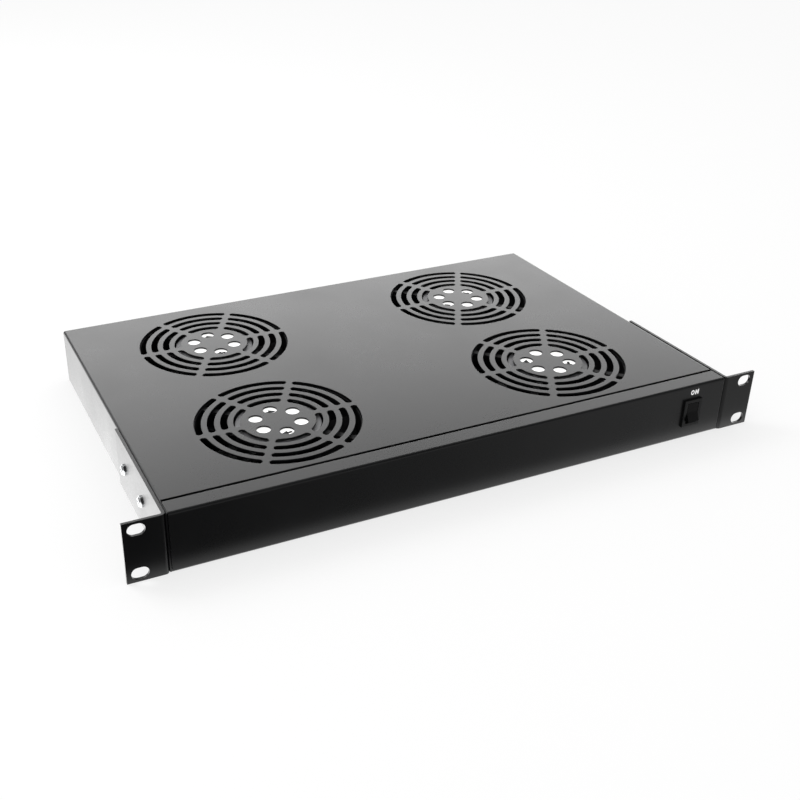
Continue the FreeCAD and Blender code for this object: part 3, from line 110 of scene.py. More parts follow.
@dataclass(frozen=True)
class Finish:
    """A procedural finish on Object coordinates.

    Attributes:
        name: the material's name.
        color: base colour, linear.
        roughness: middle value of the roughness.
        metallic: 0 for paint and plastic, 1 for bare metal.
        ior: index of refraction of the outer layer.
        gloss: how much the roughness varies.
        grain: size of the surface's grain, in metres.
        relief: height of the grain, in metres.
        shift: how much the colour varies, as a share of it.
        brushed: stretch of the grain along X, 1 for none.
        edge: radius that sheared edges show, in metres.
        painted_glow: painted glow, light that only the camera sees the surface give off, for print
            in deep shade.
        stripe: colour of a lengthwise stripe, for a two-colour lead.
    """

    name: str
    color: tuple[float, float, float]
    roughness: float = 0.5
    metallic: float = 0.0
    ior: float = 1.5
    gloss: Gloss = Gloss.LIGHT
    grain: float = 0.0012
    relief: float = 0.00001
    shift: float = 0.15
    brushed: float = 1.0
    edge: float = 0.0003
    painted_glow: float = 0.0
    stripe: tuple[float, float, float] | None = None

    def material(self) -> bpy.types.Material:
        """Builds the material the first time, and finds it again after that.

        Returns:
            The material.
        """
        found = bpy.data.materials.get(self.name)
        if found is not None:
            return found
        material = bpy.data.materials.new(self.name)
        material.use_nodes = True
        tree = material.node_tree
        shader = tree.nodes["Principled BSDF"]
        shader.inputs["Metallic"].default_value = self.metallic
        shader.inputs["IOR"].default_value = self.ior
        place = tree.nodes.new("ShaderNodeTexCoord")
        mapping = tree.nodes.new("ShaderNodeMapping")
        mapping.inputs["Scale"].default_value = (1.0 / self.brushed, 1.0, 1.0)
        tree.links.new(place.outputs["Object"], mapping.inputs["Vector"])
        grain = self.noise(tree, mapping, 1.0 / self.grain, GRAIN_DETAIL)
        cloud = self.noise(tree, mapping, CLOUD_SCALE, CLOUD_DETAIL)
        self.tint(tree, cloud, shader)
        self.dull(tree, cloud, grain, shader)
        bump = tree.nodes.new("ShaderNodeBump")
        bump.inputs["Distance"].default_value = self.relief
        bump.inputs["Strength"].default_value = 1.0
        tree.links.new(grain.outputs["Fac"], bump.inputs["Height"])
        tree.links.new(bump.outputs["Normal"], shader.inputs["Normal"])
        rounded = tree.nodes.new("ShaderNodeBevel")
        rounded.samples = EDGE_SAMPLES
        rounded.inputs["Radius"].default_value = self.edge
        tree.links.new(rounded.outputs["Normal"], bump.inputs["Normal"])
        # Painted glow: camera rays see the surface give off light in its own colour.
        if self.painted_glow > 0.0:
            self.paint_glow_in_shade(tree, shader)
        return material

    def paint_glow_in_shade(self, tree: bpy.types.NodeTree, shader: bpy.types.Node) -> None:
        """Paints a glow that only the camera sees, so that a pale surface in deep shade looks lit,
        with no light on its neighbours.

        Args:
            tree: the material's node tree.
            shader: the shader of the surface.
        """
        rays = tree.nodes.new("ShaderNodeLightPath")
        strength = tree.nodes.new("ShaderNodeMath")
        strength.operation = "MULTIPLY"
        strength.inputs[1].default_value = self.painted_glow
        tree.links.new(rays.outputs["Is Camera Ray"], strength.inputs[0])
        shader.inputs["Emission Color"].default_value = (*self.color, 1.0)
        tree.links.new(strength.outputs["Value"], shader.inputs["Emission Strength"])

    @staticmethod
    def noise(
        tree: bpy.types.NodeTree, mapping: bpy.types.Node, scale: float, detail: float
    ) -> bpy.types.Node:
        """Adds a noise texture.

        Args:
            tree: the material's node tree.
            mapping: the node that gives its place.
            scale: repeats for each metre.
            detail: octaves of noise.

        Returns:
            The noise node.
        """
        node = tree.nodes.new("ShaderNodeTexNoise")
        node.inputs["Scale"].default_value = scale
        node.inputs["Detail"].default_value = detail
        tree.links.new(mapping.outputs["Vector"], node.inputs["Vector"])
        return node

    def tint(
        self, tree: bpy.types.NodeTree, cloud: bpy.types.Node, shader: bpy.types.Node
    ) -> None:
        """Varies the base colour a little.

        Args:
            tree: the material's node tree.
            cloud: the slow noise that drives it.
            shader: the shader that takes the colour.
        """
        ramp = tree.nodes.new("ShaderNodeValToRGB")
        shares = (1.0 - self.shift, 1.0 + self.shift)
        for element, place, share in zip(ramp.color_ramp.elements, CLOUD_ENDS, shares):
            element.position = place
            element.color = (*(min(1.0, part * share) for part in self.color), 1.0)
        tree.links.new(cloud.outputs["Fac"], ramp.inputs["Fac"])
        tree.links.new(ramp.outputs["Color"], shader.inputs["Base Color"])
        if self.stripe is not None:
            self.add_stripe(tree, ramp, shader)

    def add_stripe(
        self, tree: bpy.types.NodeTree, plain: bpy.types.Node, shader: bpy.types.Node
    ) -> None:
        """Lays the second colour beside the first one.

        Args:
            tree: the material's node tree.
            plain: the node that gives the first colour.
            shader: the shader that takes both.
        """
        place = tree.nodes.new("ShaderNodeTexCoord")
        bands = tree.nodes.new("ShaderNodeTexWave")
        bands.inputs["Scale"].default_value = STRIPE_SCALE
        tree.links.new(place.outputs["Object"], bands.inputs["Vector"])
        edge = tree.nodes.new("ShaderNodeMath")
        edge.operation = "GREATER_THAN"
        tree.links.new(bands.outputs["Fac"], edge.inputs[0])
        mix = tree.nodes.new("ShaderNodeMix")
        mix.data_type = "RGBA"
        mix.inputs["B"].default_value = (*self.stripe, 1.0)
        tree.links.new(edge.outputs["Value"], mix.inputs["Factor"])
        tree.links.new(plain.outputs["Color"], mix.inputs["A"])
        tree.links.new(mix.outputs["Result"], shader.inputs["Base Color"])

    def dull(
        self,
        tree: bpy.types.NodeTree,
        cloud: bpy.types.Node,
        grain: bpy.types.Node,
        shader: bpy.types.Node,
    ) -> None:
        """Varies the roughness with both noises.

        Args:
            tree: the material's node tree.
            cloud: the slow noise.
            grain: the fine noise.
            shader: the shader that takes the roughness.
        """
        mix = tree.nodes.new("ShaderNodeMath")
        mix.operation = "ADD"
        tree.links.new(cloud.outputs["Fac"], mix.inputs[0])
        tree.links.new(grain.outputs["Fac"], mix.inputs[1])
        spread = tree.nodes.new("ShaderNodeMapRange")
        least, most = self.roughness - self.gloss.value, self.roughness + self.gloss.value
        spread.inputs["From Min"].default_value = GLOSS_ENDS[0]
        spread.inputs["From Max"].default_value = GLOSS_ENDS[1]
        spread.inputs["To Min"].default_value = max(SMOOTHEST, least)
        spread.inputs["To Max"].default_value = min(1.0, most)
        tree.links.new(mix.outputs["Value"], spread.inputs["Value"])
        tree.links.new(spread.outputs["Result"], shader.inputs["Roughness"])


POWDER = Finish("powder_coat", (0.0065, 0.0067, 0.0072), 0.30, grain=0.0011, relief=0.00001)
EAR_POWDER = Finish("ear_powder_coat", (0.0065, 0.0067, 0.0072), 0.33, grain=0.0011, relief=0.00001)
CAST_PAINT = Finish("cast_paint", (0.006, 0.006, 0.0065), 0.6, ior=1.25, grain=0.002, relief=0.00004)
BLACK_PLASTIC = Finish(
    "black_moulding", (0.006, 0.006, 0.0065), 0.35, ior=1.4, grain=0.0005, relief=0.000005
)
ROCKER_PLASTIC = Finish("rocker_moulding", (0.004, 0.004, 0.0042), 0.24, ior=1.25, edge=0.0005)
BLADE_PLASTIC = Finish("blade_moulding", (0.005, 0.005, 0.0055), 0.6, ior=1.25, grain=0.0008)
ZINC = Finish("zinc_plate", (0.58, 0.59, 0.60), 0.28, 1.0, grain=0.0008, gloss=Gloss.WORN)
SHAFT_STEEL = Finish("ground_steel", (0.62, 0.62, 0.63), 0.2, 1.0, brushed=12.0)
BRONZE = Finish("sintered_bronze", (0.50, 0.33, 0.18), 0.45, 1.0, grain=0.0003)
STATOR_IRON = Finish("varnished_laminations", (0.20, 0.19, 0.19), 0.45, 0.8, grain=0.0005)
ROTOR_IRON = Finish("rolled_steel", (0.36, 0.36, 0.37), 0.38, 1.0, brushed=8.0)
TINNED = Finish("tinned_brass", (0.78, 0.76, 0.66), 0.28, 1.0, grain=0.0006)
SHEATH = Finish("lead_sheath", (0.012, 0.012, 0.013), 0.42, grain=0.0006, relief=0.000004)
EARTH_SHEATH = Finish("earth_sheath", (0.03, 0.22, 0.05), 0.42, stripe=(0.72, 0.60, 0.03))
GASKET_RUBBER = Finish("gasket_rubber", (0.008, 0.008, 0.008), 0.75, grain=0.0007, relief=0.00002)
BLOCK_PLASTIC = Finish("block_moulding", (0.02, 0.02, 0.021), 0.45, grain=0.0006)
# The label gets a painted glow, so that it shows white in the fan's deep shade.
LABEL_FILM = Finish("label_film", (0.80, 0.80, 0.79), 0.5, grain=0.004, shift=0.03, painted_glow=1.1)
MOTOR_FACE = Finish("motor_face", (0.16, 0.16, 0.165), 0.5, 0.6, grain=0.0012, relief=0.00002)
LABEL_INK = Finish("label_ink", (0.03, 0.03, 0.032), 0.5, grain=0.002, edge=0.00002)
# The ON print gets a painted glow, so that it shows brighter than the lamps make it.
LEGEND = Finish("legend_print", (0.86, 0.86, 0.86), 0.55, shift=0.02, edge=0.00002, painted_glow=0.5)

SLOT_FINISH = {
    "black_powder": POWDER,
    "zinc": ZINC,
    "black_plastic": BLACK_PLASTIC,
    "tinned_brass": TINNED,
    "black_cast": CAST_PAINT,
    "shaft_steel": SHAFT_STEEL,
    "bearing_bronze": BRONZE,
    "stator_iron": STATOR_IRON,
    "rotor_iron": ROTOR_IRON,
    "white_label": LABEL_FILM,
    "lead_sheath": SHEATH,
    "earth_sheath": EARTH_SHEATH,
    "block_moulding": BLOCK_PLASTIC,
    "gasket_rubber": GASKET_RUBBER,
}


def dress(thing: bpy.types.Object, finish: Finish) -> None:
    """Gives an object one finish.

    Args:
        thing: a piece or a CAD node.
        finish: what it is made of.
    """
    if thing.data.materials:
        for slot in thing.material_slots:
            slot.material = finish.material()
    else:
        thing.data.materials.append(finish.material())


def dress_frame(frame: dict) -> None:
    """Dresses every CAD node by the record's material slot.
    """
    slots = {row["node"]: row["material_slot"] for row in frame["record"]["subparts"]}
    for name, node in frame["nodes"].items():
        finish = SLOT_FINISH[slots[name]]
        if name.endswith("_ear"):
            finish = EAR_POWDER
        elif name.endswith("_impeller"):
            finish = BLADE_PLASTIC
        elif name == "switch_rocker":
            finish = ROCKER_PLASTIC
        dress(node, finish)


# ---------------------------------------------------------------- pieces


def new_piece(name: str, mesh: bmesh.types.BMesh, finish: Finish, body: str) -> bpy.types.Object:
    """Turns a bmesh into a piece that rides on a CAD body.

    Args:
        name: the piece's name.
        mesh: its shape, in the row frame, in metres.
        finish: what it is made of.
        body: the CAD body that it rides on.

    Returns:
        The new object.
    """
    data = bpy.data.meshes.new(name)
    mesh.to_mesh(data)
    mesh.free()
    thing = bpy.data.objects.new(name, data)
    bpy.context.scene.collection.objects.link(thing)
    dress(thing, finish)
    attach(thing, body)
    LOG.info("made %s: %d faces, on %s", name, len(data.polygons), body)
    return thing


def node_box(node: bpy.types.Object) -> tuple[Vector, Vector]:
    """The lowest and highest corner of a CAD node, in the row frame at rest.

    Args:
        node: the CAD node.

    Returns:
        Both corners, in metres.
    """
    bpy.context.view_layer.update()
    points = [node.matrix_world @ vert.co for vert in node.data.vertices]
    low = Vector(min(point[i] for point in points) for i in range(3))
    high = Vector(max(point[i] for point in points) for i in range(3))
    return low, high


@dataclass(frozen=True)
class FlatFace:
    """A flat face of a CAD node that carries something thin.

    Attributes:
        origin: the middle of what it carries, in millimetres.
        across: the face's direction to the right.
        up: the face's direction upwards.
        thick: how far what it carries stands out, in millimetres.
    """

    origin: tuple[float, float, float]
    across: Vector
    up: Vector
    thick: float

    def ring(
        self,
        mesh: bmesh.types.BMesh,
        radii: tuple[float, float],
        start: float = 0.0,
        sweep: float = 360.0,
        steps: int = 64,
    ) -> None:
        """Adds a ring, or a part of one, round the middle.

        Args:
            mesh: where it goes.
            radii: inner and outer radius.
            start: where it starts, in degrees.
            sweep: how far it runs, in degrees.
            steps: how many faces make it.
        """
        whole = sweep >= 360.0
        ends = [mesh.verts.new((radius, 0.0, 0.0)) for radius in radii]
        line = mesh.edges.new(ends)
        first = Matrix.Rotation(math.radians(start), 4, "Z")
        bmesh.ops.transform(mesh, matrix=first, verts=ends)
        before = set(mesh.faces)
        bmesh.ops.spin(
            mesh,
            geom=[*ends, line],
            cent=(0.0, 0.0, 0.0),
            axis=(0.0, 0.0, 1.0),
            angle=math.radians(min(sweep, 360.0)),
            steps=steps,
            use_merge=whole,
        )
        self.raise_faces(mesh, [face for face in mesh.faces if face not in before])

    def triangle(
        self, mesh: bmesh.types.BMesh, radius: float, angle: float, size: float
    ) -> None:
        """Adds an arrow's head that points clockwise round the middle.

        Args:
            mesh: where it goes.
            radius: how far it is from the middle.
            angle: where it sits, in degrees.
            size: from its middle to its corners.
        """
        made = bmesh.ops.create_circle(mesh, cap_ends=True, segments=3, radius=size)
        tip = made["verts"][0].co
        heading = -math.pi / 2 - math.atan2(tip.y, tip.x)
        bmesh.ops.transform(
            mesh, matrix=Matrix.Rotation(heading, 4, "Z"), verts=made["verts"]
        )
        turn = Matrix.Rotation(math.radians(angle), 4, "Z")
        bmesh.ops.translate(mesh, verts=made["verts"], vec=(radius, 0.0, 0.0))
        bmesh.ops.transform(mesh, matrix=turn, verts=made["verts"])
        self.raise_faces(mesh, list({face for vert in made["verts"] for face in vert.link_faces}))

    def bar(
        self,
        mesh: bmesh.types.BMesh,
        middle: tuple[float, float],
        size: tuple[float, float],
        lean: float = 0.0,
    ) -> None:
        """Adds a straight bar.

        Args:
            mesh: where it goes.
            middle: its middle.
            size: its width and height.
            lean: how far its top is to the left of its foot.
        """
        made = bmesh.ops.create_grid(mesh, x_segments=1, y_segments=1, size=0.5)
        bmesh.ops.scale(mesh, vec=(*size, 1.0), verts=made["verts"])
        tops = [vert for vert in made["verts"] if vert.co.y > 0.0]
        feet = [vert for vert in made["verts"] if vert.co.y < 0.0]
        bmesh.ops.translate(mesh, verts=tops, vec=(-lean / 2, 0.0, 0.0))
        bmesh.ops.translate(mesh, verts=feet, vec=(lean / 2, 0.0, 0.0))
        bmesh.ops.translate(mesh, verts=made["verts"], vec=(*middle, 0.0))
        self.raise_faces(mesh, list({face for vert in made["verts"] for face in vert.link_faces}))

    def raise_faces(
        self, mesh: bmesh.types.BMesh, faces: list[bmesh.types.BMFace]
    ) -> None:
        """Gives flat faces their thickness.

        Args:
            mesh: where they are.
            faces: the flat faces.
        """
        raised = bmesh.ops.extrude_face_region(mesh, geom=faces, use_keep_orig=True)
        verts = [item for item in raised["geom"] if isinstance(item, bmesh.types.BMVert)]
        bmesh.ops.translate(mesh, verts=verts, vec=(0.0, 0.0, self.thick))

    def settle(self, mesh: bmesh.types.BMesh) -> None:
        """Moves the finished shape onto the face and points its faces outwards.

        Args:
            mesh: the shape, in the face's own millimetres.
        """
        out = self.across.cross(self.up)
        turn = Matrix((self.across, self.up, out)).transposed().to_4x4()
        place = Matrix.Scale(MM, 4) @ Matrix.Translation(self.origin) @ turn
        bmesh.ops.transform(mesh, matrix=place, verts=mesh.verts)
        bmesh.ops.recalc_face_normals(mesh, faces=mesh.faces)


@dataclass(frozen=True)
class FanTop:
    """What shows on top of one fan's motor: plain marks on its label, and the face round it.

    Attributes:
        fan: the fan's name.
        border: inner and outer radius of the line round the label.
        seat: inner and outer radius of the ring at the label's middle.
        track: inner and outer radius of the two arrows for the way it turns.
        arrows: where the arrows start, in degrees.
        turned: how far the whole label is turned on the motor, in degrees.
        arrow_sweep: how far each arrow's tail runs, in degrees.
        arrow_head: size of each arrow's head.
        rows: heights of the plain lines across the label.
        row_size: width and height of a line.
        ink: thickness of the marks.
        face_wide: how far the motor's bare face runs past the label.
        face_gap: clearance between that face and the label.
    """

    fan: str
    border: tuple[float, float] = (22.2, 22.7)
    seat: tuple[float, float] = (1.6, 2.2)
    track: tuple[float, float] = (14.9, 17.1)
    arrows: tuple[float, ...] = (90.0, 270.0)
    turned: float = 0.0
    arrow_sweep: float = 14.0
    arrow_head: float = 3.4
    rows: tuple[float, ...] = (-7.0, -5.0, 5.0, 7.0)
    row_size: tuple[float, float] = (13.0, 0.7)
    ink: float = 0.04
    face_wide: float = 6.3
    face_gap: float = 0.05

    def make_marks(self, middle: Vector, top: float) -> None:
        """The ink on the label.

        Args:
            middle: the label's middle, in millimetres.
            top: height of its face, in millimetres.
        """
        face = FlatFace((middle.x, middle.y, top), Vector((1, 0, 0)), Vector((0, 1, 0)), self.ink)
        mesh = bmesh.new()
        face.ring(mesh, self.border)
        face.ring(mesh, self.seat, steps=24)
        for start in self.arrows:
            face.ring(mesh, self.track, start, self.arrow_sweep, steps=10)
            tip = start - self.arrow_sweep / 4
            face.triangle(mesh, sum(self.track) / 2, tip, self.arrow_head)
        for height in self.rows:
            face.bar(mesh, (0.0, height), self.row_size)
        turn = Matrix.Rotation(math.radians(self.turned), 4, "Z")
        bmesh.ops.transform(mesh, matrix=turn, verts=mesh.verts)
        face.settle(mesh)
        new_piece(f"{self.fan}_label_marks", mesh, LABEL_INK, "root")

    def make_face(self, middle: Vector, low: float, radius: float) -> None:
        """The bare face of the motor's base, round the label.

        Args:
            middle: the label's middle, in millimetres.
            low: height of the base's face, in millimetres.
            radius: the label's radius, in millimetres.
        """
        face = FlatFace((middle.x, middle.y, low), Vector((1, 0, 0)), Vector((0, 1, 0)), self.ink)
        mesh = bmesh.new()
        face.ring(mesh, (radius + self.face_gap, radius + self.face_wide))
        face.settle(mesh)
        new_piece(f"{self.fan}_motor_face", mesh, MOTOR_FACE, "root")

    def build(self, frame: dict) -> None:
        """Makes both pieces on the fan's label and motor base.
        """
        low, high = node_box(frame["nodes"][f"{self.fan}_label"])
        middle = (low + high) / 2 / MM
        self.make_marks(middle, high.z / MM)
        self.make_face(middle, low.z / MM, (high.x - low.x) / 2 / MM)


@dataclass(frozen=True)
class SwitchLegend:
    """The white ON over the switch.

    Attributes:
        tall: height of the letters.
        wide: width of each letter.
        stroke: width of their strokes.
        apart: distance between the letters' middles.
        over: from the switch's top edge to the letters' middle.
        shift: how far the letters sit to the right of the switch's middle.
        thick: thickness of the print.
    """

    tall: float = 4.0
    wide: float = 3.1
    stroke: float = 0.95
    apart: float = 3.9
    over: float = 5.4
    shift: float = 1.0
    thick: float = 0.05

    def build(self, frame: dict) -> None:
        """Makes the legend on the front panel.
        """
        low, high = node_box(frame["nodes"]["switch_housing"])
        middle = (low.x + high.x) / 2 / MM
        panel = node_box(frame["nodes"]["base_pan"])[0].y / MM
        place = (middle + self.shift, panel, high.z / MM + self.over)
        face = FlatFace(place, Vector((1, 0, 0)), Vector((0, 0, 1)), self.thick)
        mesh = bmesh.new()
        face.ring(mesh, (self.tall / 2 - self.stroke, self.tall / 2), steps=32)
        slim = (self.wide / self.tall, 1.0, 1.0)
        bmesh.ops.scale(mesh, vec=slim, verts=mesh.verts)
        bmesh.ops.translate(mesh, verts=mesh.verts, vec=(-self.apart / 2, 0.0, 0.0))
        side = (self.wide - self.stroke) / 2
        for shift, lean in ((-side, 0.0), (0.0, 2 * side), (side, 0.0)):
            face.bar(mesh, (self.apart / 2 + shift, 0.0), (self.stroke, self.tall), lean)
        face.settle(mesh)
        new_piece("on_legend", mesh, LEGEND, "root")


# ---------------------------------------------------------------- studio


# Brightness that gloss sees, by a direction's height with a share of its side coordinate added.
BACKDROP = (
    (-1.0, 3.25),
    (0.47, 3.25),
    (0.5, 2.92),
    (0.54, 2.75),
    (0.565, 2.1),
    (0.5825, 1.45),
    (0.5915, 1.1),
    (0.61, 0.75),
    (0.7, 0.55),
    (0.9, 0.35),
)
# That share of the side coordinate, and the highest brightness that the stops may hold.
BACKDROP_LEAN = 0.25
BACKDROP_TOP = 3.3
# Shares of it that show, by a direction's side and depth coordinate.
BACKDROP_BY_SIDE = ((-1.0, 0.15), (-0.15, 0.2), (0.08, 1.0), (1.0, 1.0))
BACKDROP_BY_DEPTH = ((-1.0, 0.12), (-0.2, 0.15), (0.2, 1.0), (1.0, 1.0))


@dataclass
class Studio:
    """Floor, light and camera.

    Attributes:
        low: lowest corner of the object.
        high: highest corner of the object.
        fill: brightness of the studio that lights the object.
        table: brightness of the floor that gloss shows beside and behind the object.
        shade: the same in front of it, at the object's left and right end, a painted shadow of the
            object.
        recede: how that brightness changes from the object's front to its rear.
        pale: light that the camera sees the floor give off beside its own.
        shadow_inset: how far inside the object's box the painted shadow on the floor under it
            begins, along X and Y.
        floor_half: from the floor's middle to its edges.
        floor_grey: the floor's own colour, linear.
        floor_roughness: the floor's roughness.
        front_blend: where the floor in front gives way to the floor beside the object,
            from the object's front face.
        lamp_place: where the lamp stands, behind the object and above it.
        lamp_size: its side, in metres.
        lamp_power: its power, in watts.
        camera_place: where the camera stands.
        camera_yaw: its turn to the right, in degrees.
        camera_pitch: its turn down, in degrees.
        focal: its focal length, in millimetres.
        camera_shift: how far its view is shifted right and up, as shares of its width.
    """

    low: Vector
    high: Vector
    fill: float = 0.75
    table: float = 2.9
    shade: tuple[float, float] = (0.01, 0.37)
    recede: tuple[float, float] = (1.14, 0.76)
    pale: float = 0.71
    shadow_inset: tuple[float, float] = (0.03, 0.01)
    floor_half: float = 6.0
    floor_grey: float = 0.31
    floor_roughness: float = 0.8
    front_blend: tuple[float, float] = (-0.01, 0.03)
    lamp_place: Vector = field(default_factory=lambda: Vector((-0.9, 1.1, 1.3)))
    lamp_size: float = 0.9
    lamp_power: float = 12.0
    camera_place: Vector = field(default_factory=lambda: Vector((-0.3456, -0.5340, 0.38967)))
    camera_yaw: float = 24.479
    camera_pitch: float = 28.117
    focal: float = 49.058
    camera_shift: tuple[float, float] = (0.0814, -0.0055)

    def make_floor(self) -> None:
        """A pale floor that keeps the object's shadow, with a painted shadow under the object, and
        that gloss sees as a bright table.
        """
        mesh = bmesh.new()
        bmesh.ops.create_grid(mesh, x_segments=1, y_segments=1, size=self.floor_half)
        bmesh.ops.translate(mesh, verts=mesh.verts, vec=(0.0, 0.0, self.low.z))
        data = bpy.data.meshes.new("floor")
        mesh.to_mesh(data)
        mesh.free()
        floor = bpy.data.objects.new("floor", data)
        bpy.context.scene.collection.objects.link(floor)
        floor.data.materials.append(self.floor_material())
        floor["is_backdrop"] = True

    def floor_material(self) -> bpy.types.Material:
        """The floor's finish: shadowed white to the camera, a bright table to gloss, and a painted
        shadow under the object for both.

        Returns:
            The material.
        """
        material = bpy.data.materials.new("floor")
        material.use_nodes = True
        tree = material.node_tree
        nodes, links = tree.nodes, tree.links
        shader = nodes["Principled BSDF"]
        grey = self.floor_grey
        shader.inputs["Base Color"].default_value = (grey, grey, grey, 1.0)
        shader.inputs["Roughness"].default_value = self.floor_roughness
        shader.inputs["Specular IOR Level"].default_value = 0.0
        place = nodes.new("ShaderNodeTexCoord")
        split = nodes.new("ShaderNodeSeparateXYZ")
        links.new(place.outputs["Object"], split.inputs["Vector"])
        # Painted shadow: the floor under the object gives off no light, to the camera or to gloss.
        unshadowed = self.outside_painted_shadow(tree, split)
        rays = nodes.new("ShaderNodeLightPath")
        to_camera = nodes.new("ShaderNodeMixShader")
        links.new(rays.outputs["Is Camera Ray"], to_camera.inputs["Fac"])
        links.new(shader.outputs["BSDF"], to_camera.inputs[1])
        links.new(self.lifted(tree, shader, unshadowed), to_camera.inputs[2])
        to_gloss = nodes.new("ShaderNodeMixShader")
        links.new(rays.outputs["Is Glossy Ray"], to_gloss.inputs["Fac"])
        links.new(to_camera.outputs["Shader"], to_gloss.inputs[1])
        links.new(self.bright_table(tree, split, unshadowed), to_gloss.inputs[2])
        links.new(to_gloss.outputs["Shader"], nodes["Material Output"].inputs["Surface"])
        return material

    def lifted(
        self, tree: bpy.types.NodeTree, shader: bpy.types.Node, unshadowed: bpy.types.NodeSocket
    ) -> bpy.types.NodeSocket:
        """Adds even white light to the floor round the object, which keeps its shadows; under the
        object it is left out, a painted shadow.

        Args:
            tree: the floor's node tree.
            shader: the floor's own shader.
            unshadowed: 1 round the object, 0 in the painted shadow under it.

        Returns:
            The shader that the camera sees.
        """
        bright = tree.nodes.new("ShaderNodeMath")
        bright.operation = "MULTIPLY"
        bright.inputs[1].default_value = self.pale
        tree.links.new(unshadowed, bright.inputs[0])
        white = tree.nodes.new("ShaderNodeEmission")
        tree.links.new(bright.outputs["Value"], white.inputs["Strength"])
        seen = tree.nodes.new("ShaderNodeAddShader")
        tree.links.new(shader.outputs["BSDF"], seen.inputs[0])
        tree.links.new(white.outputs["Emission"], seen.inputs[1])
        return seen.outputs["Shader"]

    def bright_table(
        self, tree: bpy.types.NodeTree, split: bpy.types.Node, unshadowed: bpy.types.NodeSocket
    ) -> bpy.types.NodeSocket:
        """The floor as gloss shows it: bright beside the object, darker in front of it and dark
        under it, both painted shadow.

        Args:
            tree: the floor's node tree.
            split: the node that gives the floor's coordinates.
            unshadowed: 1 round the object, 0 in the painted shadow under it.

        Returns:
            The shader that gloss sees.
        """
        across, depth = split.outputs["X"], split.outputs["Y"]
        blend = tuple(self.low.y + shift for shift in self.front_blend)
        # Painted shadow: gloss sees the floor in front of the object dark, darkest at its left end.
        front = self.ranged(tree, across, (self.low.x, self.high.x), self.shade)
        beside = self.ranged(tree, depth, blend, (0.0, self.table))
        tree.links.new(front.outputs["Result"], beside.inputs["To Min"])
        back = self.ranged(tree, depth, (self.low.y, self.high.y), self.recede)
        shown = self.times(tree, beside.outputs["Result"], back.outputs["Result"])
        table = tree.nodes.new("ShaderNodeEmission")
        tree.links.new(self.times(tree, shown, unshadowed), table.inputs["Strength"])
        return table.outputs["Emission"]

    @staticmethod
    def ranged(
        tree: bpy.types.NodeTree,
        value: bpy.types.NodeSocket,
        source: tuple[float, float],
        result: tuple[float, float],
    ) -> bpy.types.Node:
        """Maps a value from one range onto another, and holds it at their ends.

        Args:
            tree: the node tree.
            value: what is mapped.
            source: where the value starts and ends.
            result: what those ends become.

        Returns:
            The mapping node.
        """
        node = tree.nodes.new("ShaderNodeMapRange")
        node.inputs["From Min"].default_value, node.inputs["From Max"].default_value = source
        node.inputs["To Min"].default_value, node.inputs["To Max"].default_value = result
        tree.links.new(value, node.inputs["Value"])
        return node

    def outside_painted_shadow(
        self, tree: bpy.types.NodeTree, split: bpy.types.Node
    ) -> bpy.types.NodeSocket:
        """Tells the floor round the object from the floor under it, which gets no even white light
        and no bright table: a painted shadow.

        Args:
            tree: the floor's node tree.
            split: the node that gives the floor's coordinates.

        Returns:
            1 round the object, 0 in the painted shadow under it.
        """
        middle, half = (self.low + self.high) / 2, (self.high - self.low) / 2
        under = []
        reaches = (half.x - self.shadow_inset[0], half.y - self.shadow_inset[1])
        for axis, centre, reach in zip("XY", middle, reaches):
            within = tree.nodes.new("ShaderNodeMath")
            within.operation = "COMPARE"
            within.inputs[1].default_value = centre
            within.inputs[2].default_value = reach
            tree.links.new(split.outputs[axis], within.inputs[0])
            under.append(within.outputs["Value"])
        outside = tree.nodes.new("ShaderNodeMath")
        outside.operation = "SUBTRACT"
        outside.inputs[0].default_value = 1.0
        tree.links.new(self.times(tree, *under), outside.inputs[1])
        return outside.outputs["Value"]

    def make_world(self) -> None:
        """A white studio: plain light on the object, and a shaped backdrop in its gloss."""
        world = bpy.data.worlds.new("studio")
        bpy.context.scene.world = world
        world.use_nodes = True
        tree = world.node_tree
        nodes, links = tree.nodes, tree.links
        background = nodes["Background"]
        background.inputs["Color"].default_value = (1.0, 1.0, 1.0, 1.0)
        place = nodes.new("ShaderNodeTexCoord")
        split = nodes.new("ShaderNodeSeparateXYZ")
        links.new(place.outputs["Generated"], split.inputs["Vector"])
        lean = nodes.new("ShaderNodeMath")
        lean.operation = "MULTIPLY_ADD"
        lean.inputs[1].default_value = BACKDROP_LEAN
        links.new(split.outputs["X"], lean.inputs[0])
        links.new(split.outputs["Z"], lean.inputs[2])
        backdrop = self.graded(tree, lean.outputs["Value"], BACKDROP, BACKDROP_TOP)
        aside = self.graded(tree, split.outputs["X"], BACKDROP_BY_SIDE, 1.0)
        behind = self.graded(tree, split.outputs["Y"], BACKDROP_BY_DEPTH, 1.0)
        shaped = self.times(tree, self.times(tree, backdrop, aside), behind)
        rays = nodes.new("ShaderNodeLightPath")
        soft = self.ranged(tree, rays.outputs["Is Glossy Ray"], (0.0, 1.0), (self.fill, 1.0))
        links.new(shaped, soft.inputs["To Max"])
        seen = self.ranged(tree, rays.outputs["Is Camera Ray"], (0.0, 1.0), (0.0, 1.0))
        links.new(soft.outputs["Result"], seen.inputs["To Min"])
        links.new(seen.outputs["Result"], background.inputs["Strength"])

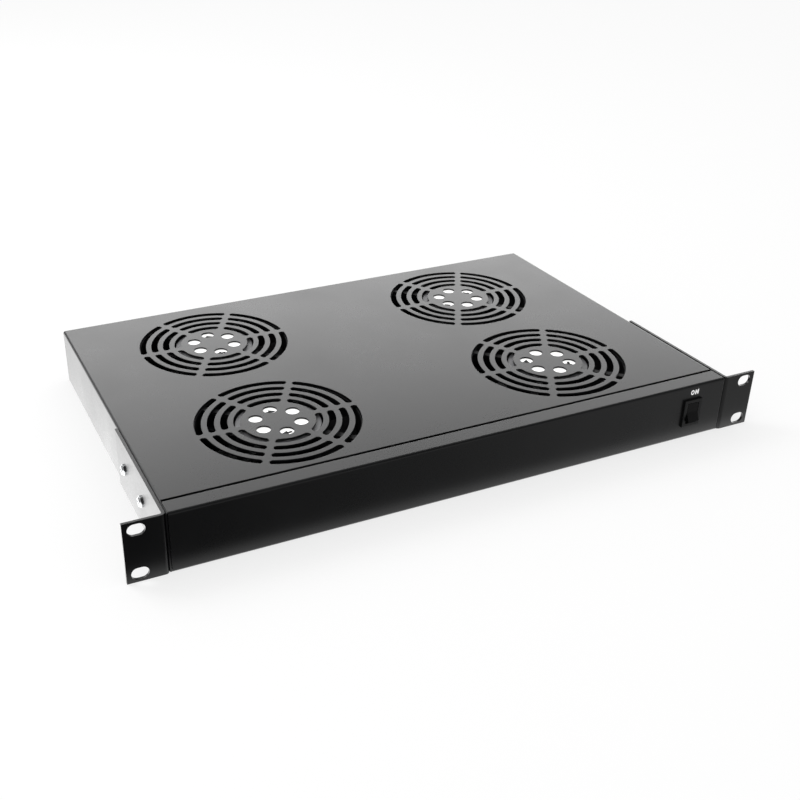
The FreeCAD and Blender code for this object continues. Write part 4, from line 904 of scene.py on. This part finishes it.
    @staticmethod
    def graded(
        tree: bpy.types.NodeTree,
        value: bpy.types.NodeSocket,
        stops: tuple[tuple[float, float], ...],
        scale: float,
    ) -> bpy.types.NodeSocket:
        """Looks a direction's coordinate up in a row of stops.

        Args:
            tree: the world's node tree.
            value: the coordinate, from -1 to 1.
            stops: coordinate and brightness, in rising order.
            scale: the highest brightness that the stops hold.

        Returns:
            The brightness.
        """
        share = Studio.ranged(tree, value, (-1.0, 1.0), (0.0, 1.0))
        ramp = tree.nodes.new("ShaderNodeValToRGB")
        while len(ramp.color_ramp.elements) < len(stops):
            ramp.color_ramp.elements.new(0.5)
        for element, (where, bright) in zip(ramp.color_ramp.elements, stops):
            element.position = (where + 1.0) / 2.0
            element.color = (bright / scale, bright / scale, bright / scale, 1.0)
        tree.links.new(share.outputs["Result"], ramp.inputs["Fac"])
        back = tree.nodes.new("ShaderNodeMath")
        back.operation = "MULTIPLY"
        back.inputs[1].default_value = scale
        tree.links.new(ramp.outputs["Color"], back.inputs[0])
        return back.outputs["Value"]

    @staticmethod
    def times(
        tree: bpy.types.NodeTree, first: bpy.types.NodeSocket, second: bpy.types.NodeSocket
    ) -> bpy.types.NodeSocket:
        """Multiplies two values.

        Args:
            tree: the world's node tree.
            first: one value.
            second: the other.

        Returns:
            Their product.
        """
        node = tree.nodes.new("ShaderNodeMath")
        node.operation = "MULTIPLY"
        tree.links.new(first, node.inputs[0])
        tree.links.new(second, node.inputs[1])
        return node.outputs["Value"]

    def make_lamp(self) -> None:
        """A square soft lamp that points at the object's middle."""
        data = bpy.data.lights.new("key_lamp", "AREA")
        data.shape = "SQUARE"
        data.size = self.lamp_size
        data.energy = self.lamp_power
        lamp = bpy.data.objects.new("key_lamp", data)
        lamp.location = self.lamp_place
        aim = (self.low + self.high) / 2 - self.lamp_place
        lamp.rotation_euler = aim.to_track_quat("-Z", "Y").to_euler()
        bpy.context.scene.collection.objects.link(lamp)

    def make_camera(self) -> None:
        """The camera, left of the front and above it."""
        data = bpy.data.cameras.new("camera")
        data.sensor_width = 36.0
        data.lens = self.focal
        data.shift_x, data.shift_y = self.camera_shift
        data.clip_start = 0.01
        data.clip_end = 50.0
        camera = bpy.data.objects.new("camera", data)
        camera.location = self.camera_place
        camera.rotation_euler = (
            math.radians(90.0 - self.camera_pitch),
            0.0,
            math.radians(-self.camera_yaw),
        )
        bpy.context.scene.collection.objects.link(camera)
        bpy.context.scene.camera = camera

    def build(self) -> None:
        """Makes floor, world, lamp and camera."""
        bpy.context.scene.view_settings.view_transform = "Standard"
        self.make_floor()
        self.make_world()
        self.make_lamp()
        self.make_camera()


def main() -> None:
    """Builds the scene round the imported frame."""
    logging.basicConfig(level=logging.INFO, format="%(name)s: %(message)s")
    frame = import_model()
    low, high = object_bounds()
    dress_frame(frame)
    for fan, turned in FANS.items():
        FanTop(fan, turned=turned).build(frame)
    SwitchLegend().build(frame)
    Studio(Vector(low), Vector(high)).build()
    low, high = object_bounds()


if __name__ == "__main__":
    main()
